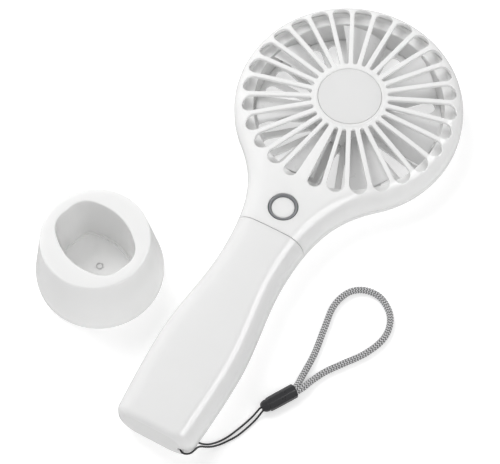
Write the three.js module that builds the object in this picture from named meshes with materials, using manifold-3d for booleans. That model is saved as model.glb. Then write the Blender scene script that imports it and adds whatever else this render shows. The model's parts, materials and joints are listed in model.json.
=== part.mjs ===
// Handheld electric fan lying on its back, with its wrist strap and its desk stand.
// Units are millimetres. +Y runs up the handle towards the head, +Z is up from the table.
import * as THREE from 'three';
import { mergeVertices } from 'three/addons/utils/BufferGeometryUtils.js';
import Module from 'manifold-3d';

const wasm = await Module();
wasm.setup();

// ---- driving dimensions, measured from the middle of the head on the table ----
const HEAD_RADIUS = 51.3;
const BODY_THICKNESS = 22;
const FOOT_Y = -176.2;
const FOOT_CORNER = 4;
const FOOT_FRONT_EDGE = 3;
const FOOT_BACK_EDGE = 4;
const PARTING_Y = -73.6;
const SPLIT_Z = 9;
// The front edge is a quarter ellipse, wider round the body than a plain rounding would be.
const FRONT_EDGE_WIDE = 8;
const FRONT_EDGE_HIGH = 10.5;
const BACK_EDGE = 9;
const COVER_WALL = 2;
const SLEEVE_WALL = 1.5;
const GAP = 0.3;
const NECK_ANGLE = 48;
const NECK_HALF = 15.2;
const NECK_Y = -90;
const BELLY_HALF = 19.5;
const BELLY_Y = -137;
const FOOT_HALF = 17.6;
const HEAD_STEPS = 36;

const HUB_RADIUS = 15.8;
const DOME_RADIUS = HEAD_RADIUS - FRONT_EDGE_WIDE;
const DOME_RISE = 1.2;
const BADGE_RADIUS = 13.9;
const SLOT_COUNT = 28;
const SLOT_INNER = 16.9;
const SLOT_OUTER = 47.9;
const SLOT_INNER_HALF = 0.95;
const SLOT_OUTER_HALF = 3.9;
// The spoke towards the handle is wide, so the slots beside it are slimmer and stand further round.
const SLIM_SLOT_HALF = 3.05;
const SLIM_SLOT_SHIFT = 1.1;

const DUCT_INNER = 42.7;
const DUCT_OUTER = 44.2;
const DUCT_TOP = 15.5;
const DUCT_FLARE = 48;
const BOSS_RADIUS = 2.2;
const REAR_SLOT_COUNT = 24;
const REAR_WIDE_SPOKE = 26;

const MOTOR_RADIUS = 12.2;
const MOTOR_BOTTOM = 3.3;
const MOTOR_TOP = 13;
const CUP_OUTER = 13.8;
const CUP_TOP = 14.8;
const SHAFT_RADIUS = 1;
const IMPELLER_RADIUS = 41.3;
const IMPELLER_HUB = 15.6;
const IMPELLER_TOP = 18;
const BLADE_COUNT = 7;
const MOTOR_SCREW_REACH = 8;

const BUTTON_Y = -62.4;
const BUTTON_HOLE = 6.9;
const BUTTON_CAP = 4.8;
const BUTTON_RECESS = 0.8;
const BUTTON_TRAVEL = 0.4;
const BOARD_HALF = 9.5;
const BOARD_END_Y = -71;
const BOARD_TOP = 15;
const BOARD_THICKNESS = 1.2;
const USB_Y = -66;
const USB_Z = 11.9;

const CELL_RADIUS = 9.2;
const CELL_Z = BODY_THICKNESS / 2;
const CELL_TOP_Y = -95;
const CELL_LENGTH = 65;
const CRADLE_HALF = 12.2;

const SCREW_SHANK = 1;
const SCREW_HEAD = 1.9;
const SCREW_HEAD_HEIGHT = 1.3;
const SCREW_SEAT = 3.2;
const CRADLE_SEAT = 1.7;

const STAND_X = -60;
const STAND_Y = -118.1;
const STAND_TOP = 23.3;
const STAND_BOTTOM = 27.9;
const STAND_HEIGHT = 32.5;
const STAND_TURN = -19.2;
const SOCKET_LONG = 18.2;
const SOCKET_SHORT = 11.2;
const SOCKET_CORNER = 4;
const SOCKET_BOW = 3;
const SOCKET_FLOOR = 5;
const STAND_WALL = 2.2;

const STRING_DIAMETER = 1;
const BRAID_DIAMETER = 3;

// The object's middle in plan, so that the root group stands on its own origin.
const CENTRE_X = (HEAD_RADIUS + STAND_X - STAND_BOTTOM) / 2;
const CENTRE_Y = (HEAD_RADIUS + FOOT_Y) / 2;

// ---- colours ----
const WHITE = 0xf1f1f0;
const GREY_PLASTIC = 0xdedfe0;
const DARK_RING = 0x77797c;
const BLACK = 0x17181a;
const STEEL = 0xb9bcc0;
const BRASS = 0xc9a24a;
const COPPER = 0xb87333;
const BOARD_GREEN = 0x1d6b45;
const RED = 0xc02a22;
const BLUE = 0x2f5fa8;
const BRAID_GREY = 0xa9abae;
const BRONZE = 0x9c7a4a;

const finish = (color, roughness, metalness = 0) => ({ color, roughness, metalness });
const PLASTIC = finish(WHITE, 0.38);
const INNER_PLASTIC = finish(GREY_PLASTIC, 0.5);
const METAL = finish(STEEL, 0.35, 0.9);

// ---- tools ----
const radians = THREE.MathUtils.degToRad;
const vec2 = (x, y) => new THREE.Vector2(x, y);
const vec3 = (x, y, z) => new THREE.Vector3(x, y, z);

// A closed three.js geometry becomes a solid with its faces pointing out.
function solid(geometry) {
  const bare = new THREE.BufferGeometry();
  bare.setAttribute('position', geometry.attributes.position.clone());
  if (geometry.index) bare.setIndex(geometry.index.clone());
  const merged = mergeVertices(bare, 1e-4);
  const points = merged.attributes.position.array;
  const faces = [];
  let volume = 0;
  const [a, b, c] = [vec3(), vec3(), vec3()];
  for (let i = 0; i < merged.index.count; i += 3) {
    const [p, q, r] = [0, 1, 2].map((k) => merged.index.getX(i + k));
    if (p === q || q === r || r === p) continue;
    a.fromArray(points, 3 * p);
    b.fromArray(points, 3 * q);
    c.fromArray(points, 3 * r);
    volume += a.dot(b.clone().cross(c));
    faces.push(p, q, r);
  }
  if (volume < 0) faces.reverse();
  const mesh = new wasm.Mesh({
    numProp: 3,
    vertProperties: new Float32Array(points),
    triVerts: new Uint32Array(faces),
  });
  mesh.merge();
  return new wasm.Manifold(mesh);
}

function box([x0, x1], [y0, y1], [z0, z1]) {
  const geometry = new THREE.BoxGeometry(x1 - x0, y1 - y0, z1 - z0);
  geometry.translate((x0 + x1) / 2, (y0 + y1) / 2, (z0 + z1) / 2);
  return solid(geometry);
}

// Turned about the Z axis from [radius, height] pairs that start and end on the axis.
function turned(profile, segments) {
  const geometry = new THREE.LatheGeometry(profile.map(([r, z]) => vec2(r, z)), segments);
  geometry.rotateX(Math.PI / 2);
  return solid(geometry);
}

const rod = (radius, z0, z1, segments = 12) =>
  turned([[0, z0], [radius, z0], [radius, z1], [0, z1]], segments);

// A ring's profile closes on itself instead of meeting the axis.
const ring = (inner, outer, z0, z1, segments = 24) =>
  turned([[inner, z0], [outer, z0], [outer, z1], [inner, z1], [inner, z0]], segments);

// A rod lying along Y.
const rodAlongY = (radius, y0, y1, segments = 12) =>
  rod(radius, -y1, -y0, segments).rotate([90, 0, 0]);

const rodAlongX = (radius, x0, x1, segments = 12) =>
  rod(radius, x0, x1, segments).rotate([0, 90, 0]);

function slab(shape, z0, z1) {
  const geometry = new THREE.ExtrudeGeometry(shape, { depth: z1 - z0, bevelEnabled: false });
  geometry.translate(0, 0, z0);
  return solid(geometry);
}

// A round bar along a smooth path, with its own number of sides and steps.
function tube(points, diameter, sides, steps) {
  const path = new THREE.CatmullRomCurve3(points.map(([x, y, z]) => vec3(x, y, z)));
  const section = new THREE.Shape();
  for (let i = 0; i < sides; i += 1) {
    const turn = (2 * Math.PI * (i + 0.5)) / sides;
    const corner = vec2(Math.cos(turn), Math.sin(turn)).multiplyScalar(diameter / 2);
    if (i === 0) section.moveTo(corner.x, corner.y);
    else section.lineTo(corner.x, corner.y);
  }
  return solid(new THREE.ExtrudeGeometry(section, { steps, extrudePath: path }));
}

const joined = (solids) => solids.reduce((whole, next) => whole.add(next));

const turnedCopies = (count, make) =>
  Array.from({ length: count }, (_, i) => make(i, (360 * i) / count));

function geometryOf(manifold) {
  const mesh = manifold.getMesh();
  const geometry = new THREE.BufferGeometry();
  geometry.setAttribute('position', new THREE.BufferAttribute(mesh.vertProperties, 3));
  geometry.setIndex(new THREE.BufferAttribute(mesh.triVerts, 1));
  geometry.computeVertexNormals();
  return geometry;
}

function piece(name, manifold, { color, roughness, metalness }) {
  const material = new THREE.MeshStandardMaterial({ color, roughness, metalness });
  const mesh = new THREE.Mesh(geometryOf(manifold), material);
  mesh.name = name;
  return mesh;
}

// ---- the body's outer form ----

// One side of the outline from the neck down, at a distance inside the outer surface.
function sideCurves(inset) {
  const turn = radians(NECK_ANGLE);
  const start = vec2(Math.cos(turn), -Math.sin(turn)).multiplyScalar(HEAD_RADIUS - inset);
  const neck = vec2(NECK_HALF - inset, NECK_Y);
  const belly = vec2(BELLY_HALF - inset, BELLY_Y);
  const foot = vec2(FOOT_HALF - inset, FOOT_Y);
  const leaving = vec2(-Math.sin(turn), -Math.cos(turn)).multiplyScalar(18.2);
  return [
    new THREE.CubicBezierCurve(start, start.clone().add(leaving), vec2(neck.x, neck.y + 25.2), neck),
    new THREE.CubicBezierCurve(neck, vec2(neck.x, neck.y - 16), vec2(belly.x, belly.y + 16), belly),
    new THREE.CubicBezierCurve(belly, vec2(belly.x, belly.y - 12), vec2(foot.x + 1, foot.y + 12), foot),
  ];
}

// The outline ends square, past the foot by the given amount.
function bodyOutline(inset, past) {
  const reach = HEAD_RADIUS - inset;
  const start = radians(-NECK_ANGLE);
  const head = new THREE.EllipseCurve(0, 0, reach, reach, start, Math.PI - start);
  const [neck, waist, belly] = sideCurves(inset);
  const side = [...neck.getPoints(8), ...waist.getPoints(5).slice(1), ...belly.getPoints(4).slice(1)];
  const foot = vec2(side.at(-1).x, FOOT_Y - past);
  const right = [...side, foot];
  const left = right.map(({ x, y }) => vec2(-x, y));
  const rim = head.getPoints(HEAD_STEPS);
  return new THREE.Shape([...rim, ...left.slice(1), ...right.reverse().slice(0, -1)]);
}

// The outline's plan with the foot's two corners rounded.
function footPlan(inset) {
  const half = FOOT_HALF - inset;
  const end = FOOT_Y + inset;
  const corner = Math.max(FOOT_CORNER - inset, 1);
  const shape = new THREE.Shape();
  shape.moveTo(-90, 90);
  shape.lineTo(-90, end + 20);
  shape.lineTo(-half - 4, end + 20);
  shape.lineTo(-half, end + corner);
  shape.quadraticCurveTo(-half, end, -half + corner, end);
  shape.lineTo(half - corner, end);
  shape.quadraticCurveTo(half, end, half, end + corner);
  shape.lineTo(half + 4, end + 20);
  shape.lineTo(90, end + 20);
  shape.lineTo(90, 90);
  const options = { depth: 80, bevelEnabled: false, curveSegments: 3 };
  return solid(new THREE.ExtrudeGeometry(shape, options).translate(0, 0, -40));
}

// The side view of the handle's end, with its front and back edges rounded.
function footSide(inset) {
  const end = FOOT_Y + inset;
  const top = BODY_THICKNESS - inset;
  const [front, back] = [FOOT_FRONT_EDGE, FOOT_BACK_EDGE].map((edge) => edge - inset);
  const shape = new THREE.Shape();
  shape.moveTo(90, inset);
  shape.lineTo(end + back, inset);
  shape.quadraticCurveTo(end, inset, end, inset + back);
  shape.lineTo(end, top - front);
  shape.quadraticCurveTo(end, top, end + front, top);
  shape.lineTo(90, top);
  const options = { depth: 180, bevelEnabled: false, curveSegments: 3 };
  const geometry = new THREE.ExtrudeGeometry(shape, options).translate(0, 0, -90);
  return solid(geometry.rotateY(Math.PI / 2).rotateX(Math.PI / 2));
}

// The body between two flat faces, with one rounded edge all round both faces.
function edged(inset, wide, high) {
  const depth = 40;
  const options = {
    depth,
    bevelThickness: high,
    bevelSize: wide,
    bevelOffset: -wide,
    bevelSegments: inset > 0 ? 3 : 4,
  };
  const geometry = new THREE.ExtrudeGeometry(bodyOutline(inset, 20), options);
  return { form: solid(geometry), low: -high, top: depth + high };
}

function frontForm(inset) {
  const { form, top } = edged(inset, FRONT_EDGE_WIDE - inset, FRONT_EDGE_HIGH - inset);
  return form.translate([0, 0, BODY_THICKNESS - inset - top]);
}

function backForm(inset) {
  const { form, low } = edged(inset, BACK_EDGE - inset, BACK_EDGE - inset);
  return form.translate([0, 0, inset - low]);
}

const above = (z) => box([-100, 100], [-250, 100], [z, z + 100]);
const below = (z) => box([-100, 100], [-250, 100], [z - 100, z]);
const headward = (y) => box([-100, 100], [y, 100], [-60, 60]);
const footward = (y) => box([-100, 100], [-250, y], [-60, 60]);

// ---- grilles ----

// One teardrop slot: narrow at the hub, wide and round at its outer end.
function slotShape(inner, outer, innerHalf, outerHalf, degrees) {
  const turn = radians(degrees);
  const place = (along, across) => vec2(along, across).rotateAround(vec2(0, 0), turn);
  const centre = outer - outerHalf;
  const points = [place(inner, -innerHalf)];
  for (const bend of [-90, -35, 35, 90]) {
    const angle = radians(bend);
    points.push(place(centre + outerHalf * Math.cos(angle), outerHalf * Math.sin(angle)));
  }
  points.push(place(inner, innerHalf));
  return new THREE.Shape(points);
}

// The rear slots, even but for one wide spoke that points down the handle.
function slotRing(count, wide, reach, halves, heights) {
  const pitch = (360 - wide) / (count - 1);
  const shapes = [];
  for (let i = 0; i < count; i += 1) {
    shapes.push(slotShape(...reach, ...halves, -90 + wide / 2 + pitch * i));
  }
  return slab(shapes, ...heights);
}

function frontSlots() {
  const pitch = 360 / SLOT_COUNT;
  const shapes = [];
  for (let i = 0; i < SLOT_COUNT; i += 1) {
    const first = i === 0;
    const slim = first || i === SLOT_COUNT - 1;
    const shift = slim ? SLIM_SLOT_SHIFT : 0;
    const degrees = -90 + pitch * (i + 0.5) + (first ? shift : -shift);
    const half = slim ? SLIM_SLOT_HALF : SLOT_OUTER_HALF;
    shapes.push(slotShape(SLOT_INNER, SLOT_OUTER, SLOT_INNER_HALF, half, degrees));
  }
  return slab(shapes, 14, 40);
}

// The domed grille face, lowered by a given amount for its inner side.
function dome(lower) {
  const profile = [[0, BODY_THICKNESS - 8], [DOME_RADIUS, BODY_THICKNESS - 8]];
  const steps = 3;
  for (let i = 0; i <= steps; i += 1) {
    const radius = DOME_RADIUS - ((DOME_RADIUS - HUB_RADIUS) * i) / steps;
    const rise = DOME_RISE * (1 - (radius / DOME_RADIUS) ** 2);
    profile.push([radius, BODY_THICKNESS - 0.1 + rise - lower]);
  }
  profile.push([0, profile.at(-1)[1]]);
  return turned(profile, HEAD_STEPS);
}

const HUB_TOP = BODY_THICKNESS + DOME_RISE * (1 - (HUB_RADIUS / DOME_RADIUS) ** 2) + 0.1;

// ---- places of the screws ----
const COVER_SCREWS = [
  [46.75 * Math.cos(radians(30)), 46.75 * Math.sin(radians(30))],
  [-46.75 * Math.cos(radians(30)), 46.75 * Math.sin(radians(30))],
  [13, -59],
  [-13, -59],
];
const BOARD_SCREWS = [[-6.5, -51.5], [6.5, -68.8]];
const CRADLE_SCREWS = [[-4.5, -69], [4.5, -69]];
const HANDLE_SCREW = [0, -168];

// ---- front cover ----
function frontCover() {
  const outer = joined([frontForm(0), dome(0)]);
  const inner = joined([frontForm(COVER_WALL), dome(COVER_WALL)]);
  const trim = above(SPLIT_Z + GAP / 2).intersect(headward(PARTING_Y + GAP / 2));
  let cover = outer.intersect(trim).subtract(inner);
  cover = cover.add(rod(HUB_RADIUS, HUB_TOP - 3.5, HUB_TOP + 0.2, 36));
  cover = cover.subtract(rod(BADGE_RADIUS + GAP, HUB_TOP - 1.3, HUB_TOP + 2, 32));
  const innerTop = BODY_THICKNESS - COVER_WALL;
  const collar = rod(BUTTON_HOLE + 1.2, innerTop - 1.5, innerTop + 0.5, 24);
  cover = cover.add(collar.translate([0, BUTTON_Y, 0]));
  const bosses = [];
  const bores = [];
  for (const [x, y] of COVER_SCREWS) {
    bosses.push(rod(BOSS_RADIUS, SPLIT_Z + GAP / 2, innerTop + 0.6).translate([x, y, 0]));
    bores.push(rod(SCREW_SHANK + GAP, 7, 14).translate([x, y, 0]));
  }
  for (const [x, y] of BOARD_SCREWS) {
    bosses.push(rod(2.1, BOARD_TOP + GAP, innerTop + 0.6).translate([x, y, 0]));
    bores.push(rod(SCREW_SHANK + GAP, BOARD_TOP - 1, 18.5).translate([x, y, 0]));
  }
  const skin = joined([frontForm(COVER_WALL / 2), dome(COVER_WALL / 2)]);
  cover = cover.add(joined(bosses).intersect(skin));
  const buttonHole = rod(BUTTON_HOLE, 10, 40, 24).translate([0, BUTTON_Y, 0]);
  const port = usbOutline(GAP + 0.2, -30, -12);
  return cover.subtract(joined([...bores, frontSlots(), buttonHole, port]));
}

// ---- rear cover with the duct and the motor's cup ----

// A low roof over the motor's wires, from the cup out to the duct, on the wide spoke.
function wireTunnel() {
  const roof = box([-3.9, 3.9], [-41, -16.5], [COVER_WALL - 0.5, 4.8]);
  return roof.subtract(box([-3.2, 3.2], [-50, -10], [COVER_WALL, 4.1]));
}

// The duct ring with a flat flare at its top, notched round the front cover's screw bosses.
function duct() {
  const wall = ring(DUCT_INNER, DUCT_OUTER, 1, DUCT_TOP, HEAD_STEPS);
  const flare = ring(DUCT_INNER, DUCT_FLARE, DUCT_TOP - 1.2, DUCT_TOP, HEAD_STEPS);
  const notches = COVER_SCREWS.map(([x, y]) =>
    rod(BOSS_RADIUS + 0.5, DUCT_TOP - 2, DUCT_TOP + 1).translate([x, y, 0]));
  return wall.add(flare.subtract(joined(notches)));
}

function rearCover() {
  const trim = below(SPLIT_Z - GAP / 2).intersect(headward(PARTING_Y + GAP / 2));
  let cover = backForm(0).intersect(trim).subtract(backForm(COVER_WALL));
  const slots = slotRing(REAR_SLOT_COUNT, REAR_WIDE_SPOKE, [17.5, 40.5], [0.9, 3.2], [-5, 10]);
  cover = cover.subtract(slots);
  cover = cover.add(duct());
  cover = cover.add(rod(CUP_OUTER, 0, CUP_TOP, 32));
  cover = cover.subtract(rod(MOTOR_RADIUS + GAP, -1, MOTOR_TOP + GAP, 32));
  const pillars = [
    ...COVER_SCREWS.map(([x, y]) => rod(2.7, 1, SPLIT_Z - GAP / 2).translate([x, y, 0])),
    ...CRADLE_SCREWS.map(([x, y]) => rod(3, 1, 2.5).translate([x, y, 0])),
  ];
  const inside = backForm(COVER_WALL / 2);
  cover = cover.add(joined(pillars).intersect(inside));
  const cuts = [];
  for (const [x, y] of COVER_SCREWS) {
    cuts.push(rod(SCREW_HEAD + GAP, -5, SCREW_SEAT).translate([x, y, 0]));
    cuts.push(rod(SCREW_SHANK + GAP, -5, 10).translate([x, y, 0]));
  }
  for (const [x, y] of CRADLE_SCREWS) {
    cuts.push(rod(SCREW_HEAD + GAP, -5, CRADLE_SEAT).translate([x, y, 0]));
    cuts.push(rod(SCREW_SHANK + GAP, -5, 10).translate([x, y, 0]));
  }
  for (const side of [-1, 1]) {
    const reach = side * MOTOR_SCREW_REACH;
    cuts.push(rod(SCREW_SHANK + GAP, 10, 20).translate([reach, 0, 0]));
  }
  cuts.push(rod(3.3, 10, 20));
  cuts.push(box([-4.5, 4.5], [-16, -11], [COVER_WALL, 5.5]));
  cuts.push(box([-4, 4], [-46, -40], [COVER_WALL, 6]));
  return cover.subtract(joined(cuts)).add(wireTunnel());
}

// ---- handle sleeve ----
function handleForm(inset) {
  const front = frontForm(inset).intersect(above(SPLIT_Z - 1));
  const back = backForm(inset).intersect(below(SPLIT_Z + 1));
  return front.add(back).intersect(footPlan(inset)).intersect(footSide(inset));
}

function handleSleeve() {
  const outer = handleForm(0).intersect(footward(PARTING_Y - GAP / 2));
  let sleeve = outer.subtract(handleForm(SLEEVE_WALL));
  const [x, y] = HANDLE_SCREW;
  const seat = rod(SCREW_HEAD + 1.6, 0.7, SCREW_SEAT + 0.8).translate([x, y, 0]);
  sleeve = sleeve.add(seat);
  const cuts = [
    rod(SCREW_HEAD + GAP, -1, SCREW_SEAT - 0.9).translate([x, y, 0]),
    rod(SCREW_SHANK + GAP, -1, 6).translate([x, y, 0]),
    rodAlongX(1.5, 10, 25, 10).translate([0, STRAP_SIDE_HOLE.y, STRAP_SIDE_HOLE.z]),
    rodAlongY(1.5, FOOT_Y - 5, FOOT_Y + 4, 10).translate([STRAP_END_HOLE.x, 0, STRAP_END_HOLE.z]),
  ];
  return sleeve.subtract(joined(cuts));
}

// ---- button, switch and board ----
const CAP_TOP = BODY_THICKNESS - BUTTON_RECESS;
const CAP_BOTTOM = 19.2;
const SWITCH_TOP = 18.2;

function buttonRing() {
  const low = BODY_THICKNESS - 3.6;
  const profile = [
    [BUTTON_CAP + GAP, low],
    [BUTTON_HOLE - GAP, low],
    [BUTTON_HOLE - GAP, BODY_THICKNESS + 0.1],
    [BUTTON_CAP + GAP, BODY_THICKNESS - 0.2],
    [BUTTON_CAP + GAP, low],
  ];
  return turned(profile, 32).translate([0, BUTTON_Y, 0]);
}

const buttonCap = () => rod(BUTTON_CAP, CAP_BOTTOM, CAP_TOP, 32).translate([0, BUTTON_Y, 0]);

function switchBody() {
  const body = box([-3, 3], [BUTTON_Y - 3, BUTTON_Y + 3], [BOARD_TOP + GAP, SWITCH_TOP]);
  return body.subtract(rod(1.9, SWITCH_TOP - 2, 30).translate([0, BUTTON_Y, 0]));
}

const switchPlunger = () =>
  rod(1.6, SWITCH_TOP - 2 + BUTTON_TRAVEL + 0.1, CAP_BOTTOM - GAP).translate([0, BUTTON_Y, 0]);

function controlBoard() {
  const heights = [BOARD_TOP - BOARD_THICKNESS, BOARD_TOP];
  const board = box([-BOARD_HALF, BOARD_HALF], [BOARD_END_Y, -48.5], heights);
  const holes = BOARD_SCREWS.map(([x, y]) => rod(SCREW_SHANK + GAP, 10, 20).translate([x, y, 0]));
  return board.subtract(joined(holes));
}

// The port's rounded outline, grown by a margin, between two distances across the body.
function usbOutline(margin, x0, x1) {
  const radius = 1.6 + margin;
  const half = 2.9;
  const core = box([x0, x1], [USB_Y - half, USB_Y + half], [USB_Z - radius, USB_Z + radius]);
  const ends = [-half, half].map((y) => rodAlongX(radius, x0, x1).translate([0, USB_Y + y, USB_Z]));
  return core.add(joined(ends));
}

function usbSocket() {
  const shell = usbOutline(0, -15.4, -8);
  const mouth = usbOutline(-0.35, -20, -9.2);
  const tongue = box([-14.6, -8.6], [USB_Y - 2.4, USB_Y + 2.4], [USB_Z - 0.4, USB_Z + 0.4]);
  return shell.subtract(mouth).add(tongue);
}

const statusLed = () => box([5, 6.6], [BUTTON_Y - 0.8, BUTTON_Y + 0.8], [BOARD_TOP + GAP, BOARD_TOP + 1.1]);

const chargeChip = () => box([-4.5, 0.5], [-57.5, -53.5], [BOARD_TOP + GAP, BOARD_TOP + 1.7]);

// ---- motor ----
const motorCover = () => rod(MOTOR_RADIUS - 0.1, 0.1, 1.2, 24);

function motorCan() {
  const can = joined([rod(MOTOR_RADIUS, MOTOR_BOTTOM, MOTOR_TOP, 28), rod(3, MOTOR_TOP - 0.5, 14.4, 16)]);
  const cavity = rod(MOTOR_RADIUS - 0.6, MOTOR_BOTTOM - 1, MOTOR_TOP - 0.7, 28);
  const seat = rod(2.5, MOTOR_TOP - 2, 14, 16);
  const eye = rod(SHAFT_RADIUS + GAP, 10, 20, 12);
  const holes = [-1, 1].map((side) =>
    rod(SCREW_SHANK + GAP, 10, 20).translate([side * MOTOR_SCREW_REACH, 0, 0]));
  return can.subtract(joined([cavity, seat, eye, ...holes]));
}

const frontBearing = () => ring(SHAFT_RADIUS + GAP, 2.2, MOTOR_TOP - 0.6, 13.7, 14);
const rearBearing = () => ring(SHAFT_RADIUS + GAP, 2.2, 1.9, 2.9, 14);

function motorEndCap() {
  const cap = rod(MOTOR_RADIUS - 0.2, 1.5, 3, 24);
  return cap.subtract(rod(2.5, 1.8, 5, 14));
}

const motorShaft = () => rod(SHAFT_RADIUS, 2.1, IMPELLER_TOP + 0.2, 12);

// A wound armature: three poles with rounded coils round the shaft.
function motorArmature() {
  const core = rod(4, 5.2, 10.6, 18);
  const poles = turnedCopies(3, (i, turn) => {
    const coil = box([2, 8], [-2.6, 2.6], [5.2, 10.6]);
    const shoe = ring(8, 9.1, 5.6, 10.2, 36).intersect(box([0, 12], [-6.4, 6.4], [0, 20]));
    return coil.add(shoe.add(box([7, 8.4], [-1.5, 1.5], [5.8, 10]))).rotate([0, 0, turn]);
  });
  return core.add(joined(poles)).subtract(rod(SHAFT_RADIUS + GAP, 0, 20, 12));
}

const motorCommutator = () => ring(SHAFT_RADIUS + GAP, 2.6, 3.5, 4.9, 12);

// A curved magnet that lines one side of the can.
function motorMagnet(side) {
  const whole = ring(9.6, MOTOR_RADIUS - 0.9, 4.6, 11.2, 28);
  return whole.intersect(box([-20, 20], side > 0 ? [2.5, 20] : [-20, -2.5], [0, 20]));
}

const motorTerminal = (side) => box([side * 2.2 - 0.7, side * 2.2 + 0.7], [-15.4, -12.4], [2.3, 2.8]);

// ---- impeller ----

// One blade: a curved section drawn out from the hub, wider and flatter towards its tip.
function blade(turn) {
  const section = new THREE.Shape();
  section.moveTo(-0.5, -0.05);
  section.quadraticCurveTo(0, 0.1, 0.5, -0.05);
  section.lineTo(0.5, 0.03);
  section.quadraticCurveTo(0, 0.19, -0.5, 0.03);
  const inner = IMPELLER_HUB - 1;
  const length = IMPELLER_RADIUS + 3 - inner;
  const options = { depth: length, bevelEnabled: false, steps: 4, curveSegments: 4 };
  const geometry = new THREE.ExtrudeGeometry(section, options);
  const place = geometry.attributes.position;
  for (let i = 0; i < place.count; i += 1) {
    const along = place.getZ(i) / length;
    const chord = 13 + 11 * along;
    const pitch = radians(44 - 20 * along);
    const across = place.getX(i) * chord;
    const rise = place.getY(i) * 13;
    const sweep = 3 * along * along;
    place.setXYZ(
      i,
      inner + along * length,
      across * Math.cos(pitch) - rise * Math.sin(pitch) + sweep,
      11.4 + across * Math.sin(pitch) + rise * Math.cos(pitch),
    );
  }
  return solid(geometry).rotate([0, 0, turn]);
}

function impeller() {
  const hub = rod(IMPELLER_HUB, 5.5, IMPELLER_TOP, 32);
  const blades = joined(turnedCopies(BLADE_COUNT, (i, turn) => blade(turn)));
  const swept = rod(IMPELLER_RADIUS, 4, IMPELLER_TOP + 1, HEAD_STEPS);
  const cup = rod(IMPELLER_HUB - 1.1, 0, IMPELLER_TOP - 1.4, 32);
  const boss = rod(2.6, 14.9, IMPELLER_TOP - 1, 14);
  const bore = rod(SHAFT_RADIUS + GAP, 0, 30, 12);
  return hub.add(blades.intersect(swept)).subtract(cup).add(boss).subtract(bore);
}

// ---- battery and its cradle ----
const CELL_END_Y = CELL_TOP_Y - CELL_LENGTH;

function batteryCradle() {
  const rails = box([-CRADLE_HALF, CRADLE_HALF], [-165, -79.5], [5, 17]);
  const pocket = rodAlongY(CELL_RADIUS + GAP, CELL_END_Y - 2.3, CELL_TOP_Y + 2.3, 28);
  const hollow = box([-9, 9], [-90.5, -82], [6.8, 30]);
  const tongue = box([-8, 8], [-81, -63.5], [2.8, 8]);
  const boss = box([-4, 4], [-171.5, -164], [4.6, 9]);
  let cradle = rails.subtract(pocket.translate([0, 0, CELL_Z])).subtract(hollow);
  cradle = cradle.add(tongue).add(boss);
  const holes = [...CRADLE_SCREWS, HANDLE_SCREW].map(([x, y]) =>
    rod(SCREW_SHANK + GAP, 0, 7.4).translate([x, y, 0]));
  return cradle.subtract(joined(holes)).intersect(handleForm(SLEEVE_WALL + GAP));
}

const batteryCell = () => {
  const can = rodAlongY(CELL_RADIUS, CELL_END_Y, CELL_TOP_Y - 1.3, 28);
  const button = rodAlongY(3, CELL_TOP_Y - 1.5, CELL_TOP_Y, 14);
  return can.add(button).translate([0, 0, CELL_Z]);
};

function cellInsulator() {
  const washer = rodAlongY(8.8, CELL_TOP_Y - 1, CELL_TOP_Y - 0.5, 24);
  return washer.subtract(rodAlongY(3.3, -200, 0, 14)).translate([0, 0, CELL_Z]);
}

const positiveTab = () => box([-5, 3], [CELL_TOP_Y + 0.3, CELL_TOP_Y + 0.8], [8.5, 17.6]);
const negativeTab = () => box([-3, 5], [CELL_END_Y - 0.8, CELL_END_Y - 0.3], [8.5, 17.6]);
const endPad = () => box([-6, 6], [CELL_END_Y - 2, CELL_END_Y - 1.1], [6, 16]);

// ---- screws and wires ----
function screw([x, y], headLow, length) {
  const shoulder = headLow + SCREW_HEAD_HEIGHT;
  const head = rod(SCREW_HEAD, headLow, shoulder, 10);
  const shank = rod(SCREW_SHANK, shoulder - 0.2, shoulder + length, 8);
  return head.add(shank).translate([x, y, 0]);
}

const screws = (name, places, headLow, length) =>
  places.map((place, i) => piece(`${name}_${i + 1}`, screw(place, headLow, length), METAL));

// The motor's screws go in from above, head up.
function motorScrew(side) {
  const head = rod(1.8, CUP_TOP + GAP, CUP_TOP + GAP + 1.1, 10);
  const shank = rod(SCREW_SHANK, 11.8, CUP_TOP + GAP + 0.2, 8);
  return head.add(shank).translate([side * MOTOR_SCREW_REACH, 0, 0]);
}

const WIRE = 1.1;
const BOARD_BOTTOM = BOARD_TOP - BOARD_THICKNESS;

const motorWire = (side) => tube([
  [side * 2.2, -15.8, 2.9], [side * 2, -28, 3], [side * 2, -42, 3.2], [side * 2.2, -47, 4.6],
  [side * 2.6, -49.6, 8], [side * 2.8, -50.6, BOARD_BOTTOM - 0.6],
], WIRE, 6, 14);

const positiveWire = () => tube([
  [-3.4, CELL_TOP_Y + 1.2, 18.6], [-3.6, -88, 18.8], [-4, -80, 18.6], [-4.2, -76, 17.7],
  [-4.2, -73, 16.4], [-4.2, -70.4, 15.9],
], WIRE, 6, 10);

const negativeWire = () => tube([
  [3.6, CELL_END_Y - 1.2, 18.2], [8.6, CELL_END_Y - 1.2, 18.5], [11.4, CELL_END_Y + 4, 18.4],
  [11.4, -140, 18.1], [10.4, -118, 18.2], [9.6, -96, 18.3], [8.6, -84, 18.5], [7, -79.4, 18.4],
  [5.2, -76, 17.6], [3.4, -73, 16.4], [2.8, -70.4, 15.9],
], WIRE, 6, 26);

// ---- wrist strap ----
// The string enters the handle's side hole and comes back out of its end.
const STRAP_SIDE_HOLE = { y: -168.8, z: 7 };
const STRAP_END_HOLE = { x: 13.5, z: 10.1 };
const SLIDER_NEAR = [32.6, -141.5, 3.1];
const SLIDER_FAR = [41, -127.6, 3.1];

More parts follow.
